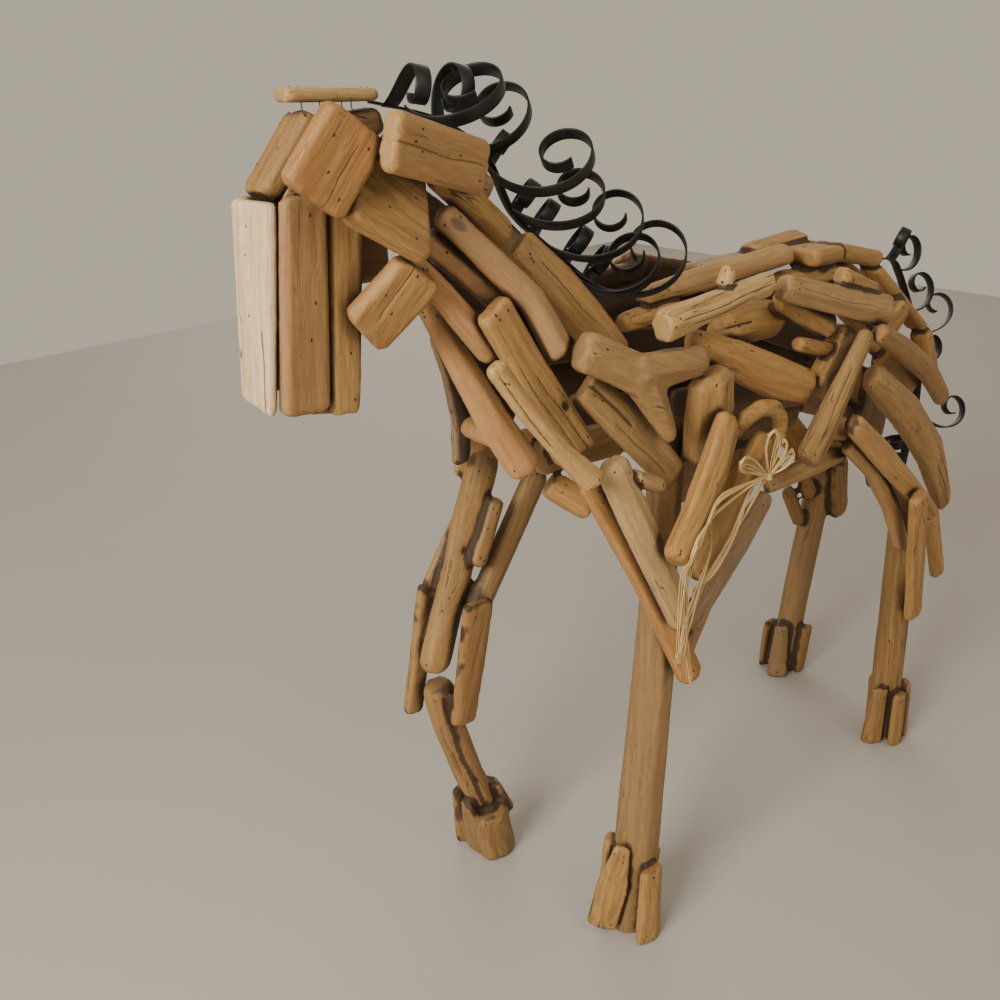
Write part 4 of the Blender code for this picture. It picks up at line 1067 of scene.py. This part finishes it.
# %% Straws
BOW_SHIFT = Vector(mane_shift)
KNOT_PLACE = (-107, -141, 461)
KNOT_ROOM, KNOT_CLEAR = 4.0, 9  # millimetres: from the wood to the knot, and free around it
ASTRAY = 3.2  # millimetres: how far the end of a straw strays
ROOM, ROOM_STEP = 1.2, 0.12  # millimetres: over the wood, and what each next straw adds
STRAW_THICK, STRAW_SIDE = 0.7, Vector((0.3, 0.2, 0.9))
ENDS = [
    [(-106, -139, 460), (-177, -146, 465), (-195, -148, 450), (-189, -146, 422), (-204, -146, 387),
     (-221, -148, 356), (-231, -150, 329)],
    [(-122, -141, 462), (-182, -148, 462), (-204, -150, 445), (-221, -150, 413), (-225, -152, 356),
     (-219, -152, 304)],
    [(-141, -142, 432), (-181, -144, 400), (-208, -146, 374), (-231, -151, 333)],
    [(-131, -141, 456), (-154, -143, 423), (-183, -144, 396), (-210, -145, 385)],
    [(-124, -143, 462), (-198, -150, 450), (-223, -150, 438), (-231, -152, 409),
     (-238, -153, 335)],
]
LOOPS = [
    [(-119, -146, 488), (-122, -150, 506), (-115, -152, 509), (-109, -152, 501),
     (-110, -148, 482)],
    [(-106, -147, 484), (-104, -152, 498), (-97, -153, 494), (-99, -150, 480)],
    [(-96, -148, 475), (-89, -152, 485), (-86, -152, 480), (-92, -149, 471)],
    [(-133, -145, 483), (-150, -148, 492), (-157, -148, 487), (-137, -144, 476)],
    [(-135, -145, 472), (-156, -149, 482), (-160, -149, 488), (-138, -145, 481)],
]


def soft_line(knots, step=3.0):
    """A line through places, in millimetres, with a point about every step."""
    path = []
    for i in range(len(knots) - 1):
        parts = max(2, round((knots[i + 1] - knots[i]).length / step))
        path += [soft_point(knots, i, k / parts) for k in range(parts)]
    return path + [knots[-1]]


def lifted(at, room):
    """Comes from the left towards a point, in millimetres, as far as the wood leaves room."""
    start = Vector((at.x, at.y - 60, at.z)) * MM + BOW_SHIFT
    _, place, _ = first_hit(start, Vector((0, 1, 0)))
    if place is None:
        return at
    wood_y = (place - BOW_SHIFT).y / MM
    return Vector((at.x, min(at.y, wood_y - room), at.z))


def smoothed(path, rounds):
    """Takes the kinks out of a line and leaves its two ends."""
    for _ in range(rounds):
        inner = [(a + 2 * b + c) / 4 for a, b, c in zip(path, path[1:], path[2:])]
        path = [path[0], *inner, path[-1]]
    return path


bow = bmesh.new()
straw_chance = random.Random(5)
strands = [(row, False) for row in ENDS * 4] + [(row, True) for row in LOOPS * 4]
knot_at = lifted(Vector(KNOT_PLACE), KNOT_ROOM)
for k, (row, loop) in enumerate(strands):
    stray = [Vector([straw_chance.uniform(-ASTRAY, ASTRAY) * (i + 1) / len(row)
                     for _ in range(3)]) for i in range(len(row))]
    places = [Vector(spot) + off for spot, off in zip(row, stray)]
    places = [at for at in places if (at - knot_at).length > KNOT_CLEAR]
    start = knot_at + Vector([straw_chance.uniform(-1.5, 1.5) for _ in range(3)])
    knots = [start, *places, start] if loop else [start, *places]
    room = ROOM + ROOM_STEP * k
    line = [lifted(at, room) for at in soft_line(knots)]
    line = [lifted(at, room) for at in smoothed(line, 6)]
    width = straw_chance.uniform(1.0, 1.9)
    add_ribbon(bow, line, STRAW_SIDE, width, STRAW_THICK, k)
for k in range(4):  # the turns of straw round the knot
    turn = [knot_at + Vector((math.cos(a) * 3.2, math.sin(a) * 3.6, (k - 1.5) * 1.5))
            for a in (math.pi * j / 8 for j in range(17))]
    add_ribbon(bow, turn, Vector((0, 0, 1)), 1.9, STRAW_THICK, len(strands) + k)


def tied_on(body, name, slot):
    """A piece of drawn lines, moved on to the horse."""
    bmesh.ops.recalc_face_normals(body, faces=body.faces)
    mesh = mesh_of(body, name)
    mesh.transform(Matrix.Translation(BOW_SHIFT))
    return add_piece(name, mesh, slot)


bow_straws = tied_on(bow, "raffia_bow_straws", "raffia")
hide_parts("raffia_bow")
print("straws:", len(strands), "points:", len(bow_straws.data.vertices))

# %% [markdown]
# ## Wires under the poll
# The little plank on top of the head is wired down, and three bits of thin dark wire stick out
# between it and the forehead. Each is a soft line through a few stated places, like the straws.

# %% Wires
WIRES = [
    [(-461, -14, 789), (-462, -17, 783), (-458, -18, 779), (-450, -17, 781), (-447, -14, 789)],
    [(-438, -14, 789), (-437, -17, 783), (-433, -18, 780), (-430, -14, 788)],
    [(-422, -14, 789), (-424, -17, 783), (-420, -18, 778), (-413, -17, 776)],
]
WIRE_WIDTH, WIRE_THICK = 0.9, 0.8  # millimetres
FIRST_WIRE = 60  # the first wire's number, after those of the straws
wires = bmesh.new()
for k, row in enumerate(WIRES):
    line = soft_line([Vector(spot) for spot in row], 1.0)
    add_ribbon(wires, line, Vector((0, 1, 0)), WIRE_WIDTH, WIRE_THICK, FIRST_WIRE + k)
tied_on(wires, "poll_tie_nails", "nails")
print("wires:", len(WIRES))

# %% [markdown]
# ## Size
# How much the finished horse has grown beyond the box of its solids is printed. The
# finished horse has to keep the size of its solids.

# %% Sizes and the end
seen_low, seen_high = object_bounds()
grown = (seen_high - seen_low) - (solid_high - solid_low)
print("grown by mm:", [round(more / MM, 1) for more in grown])
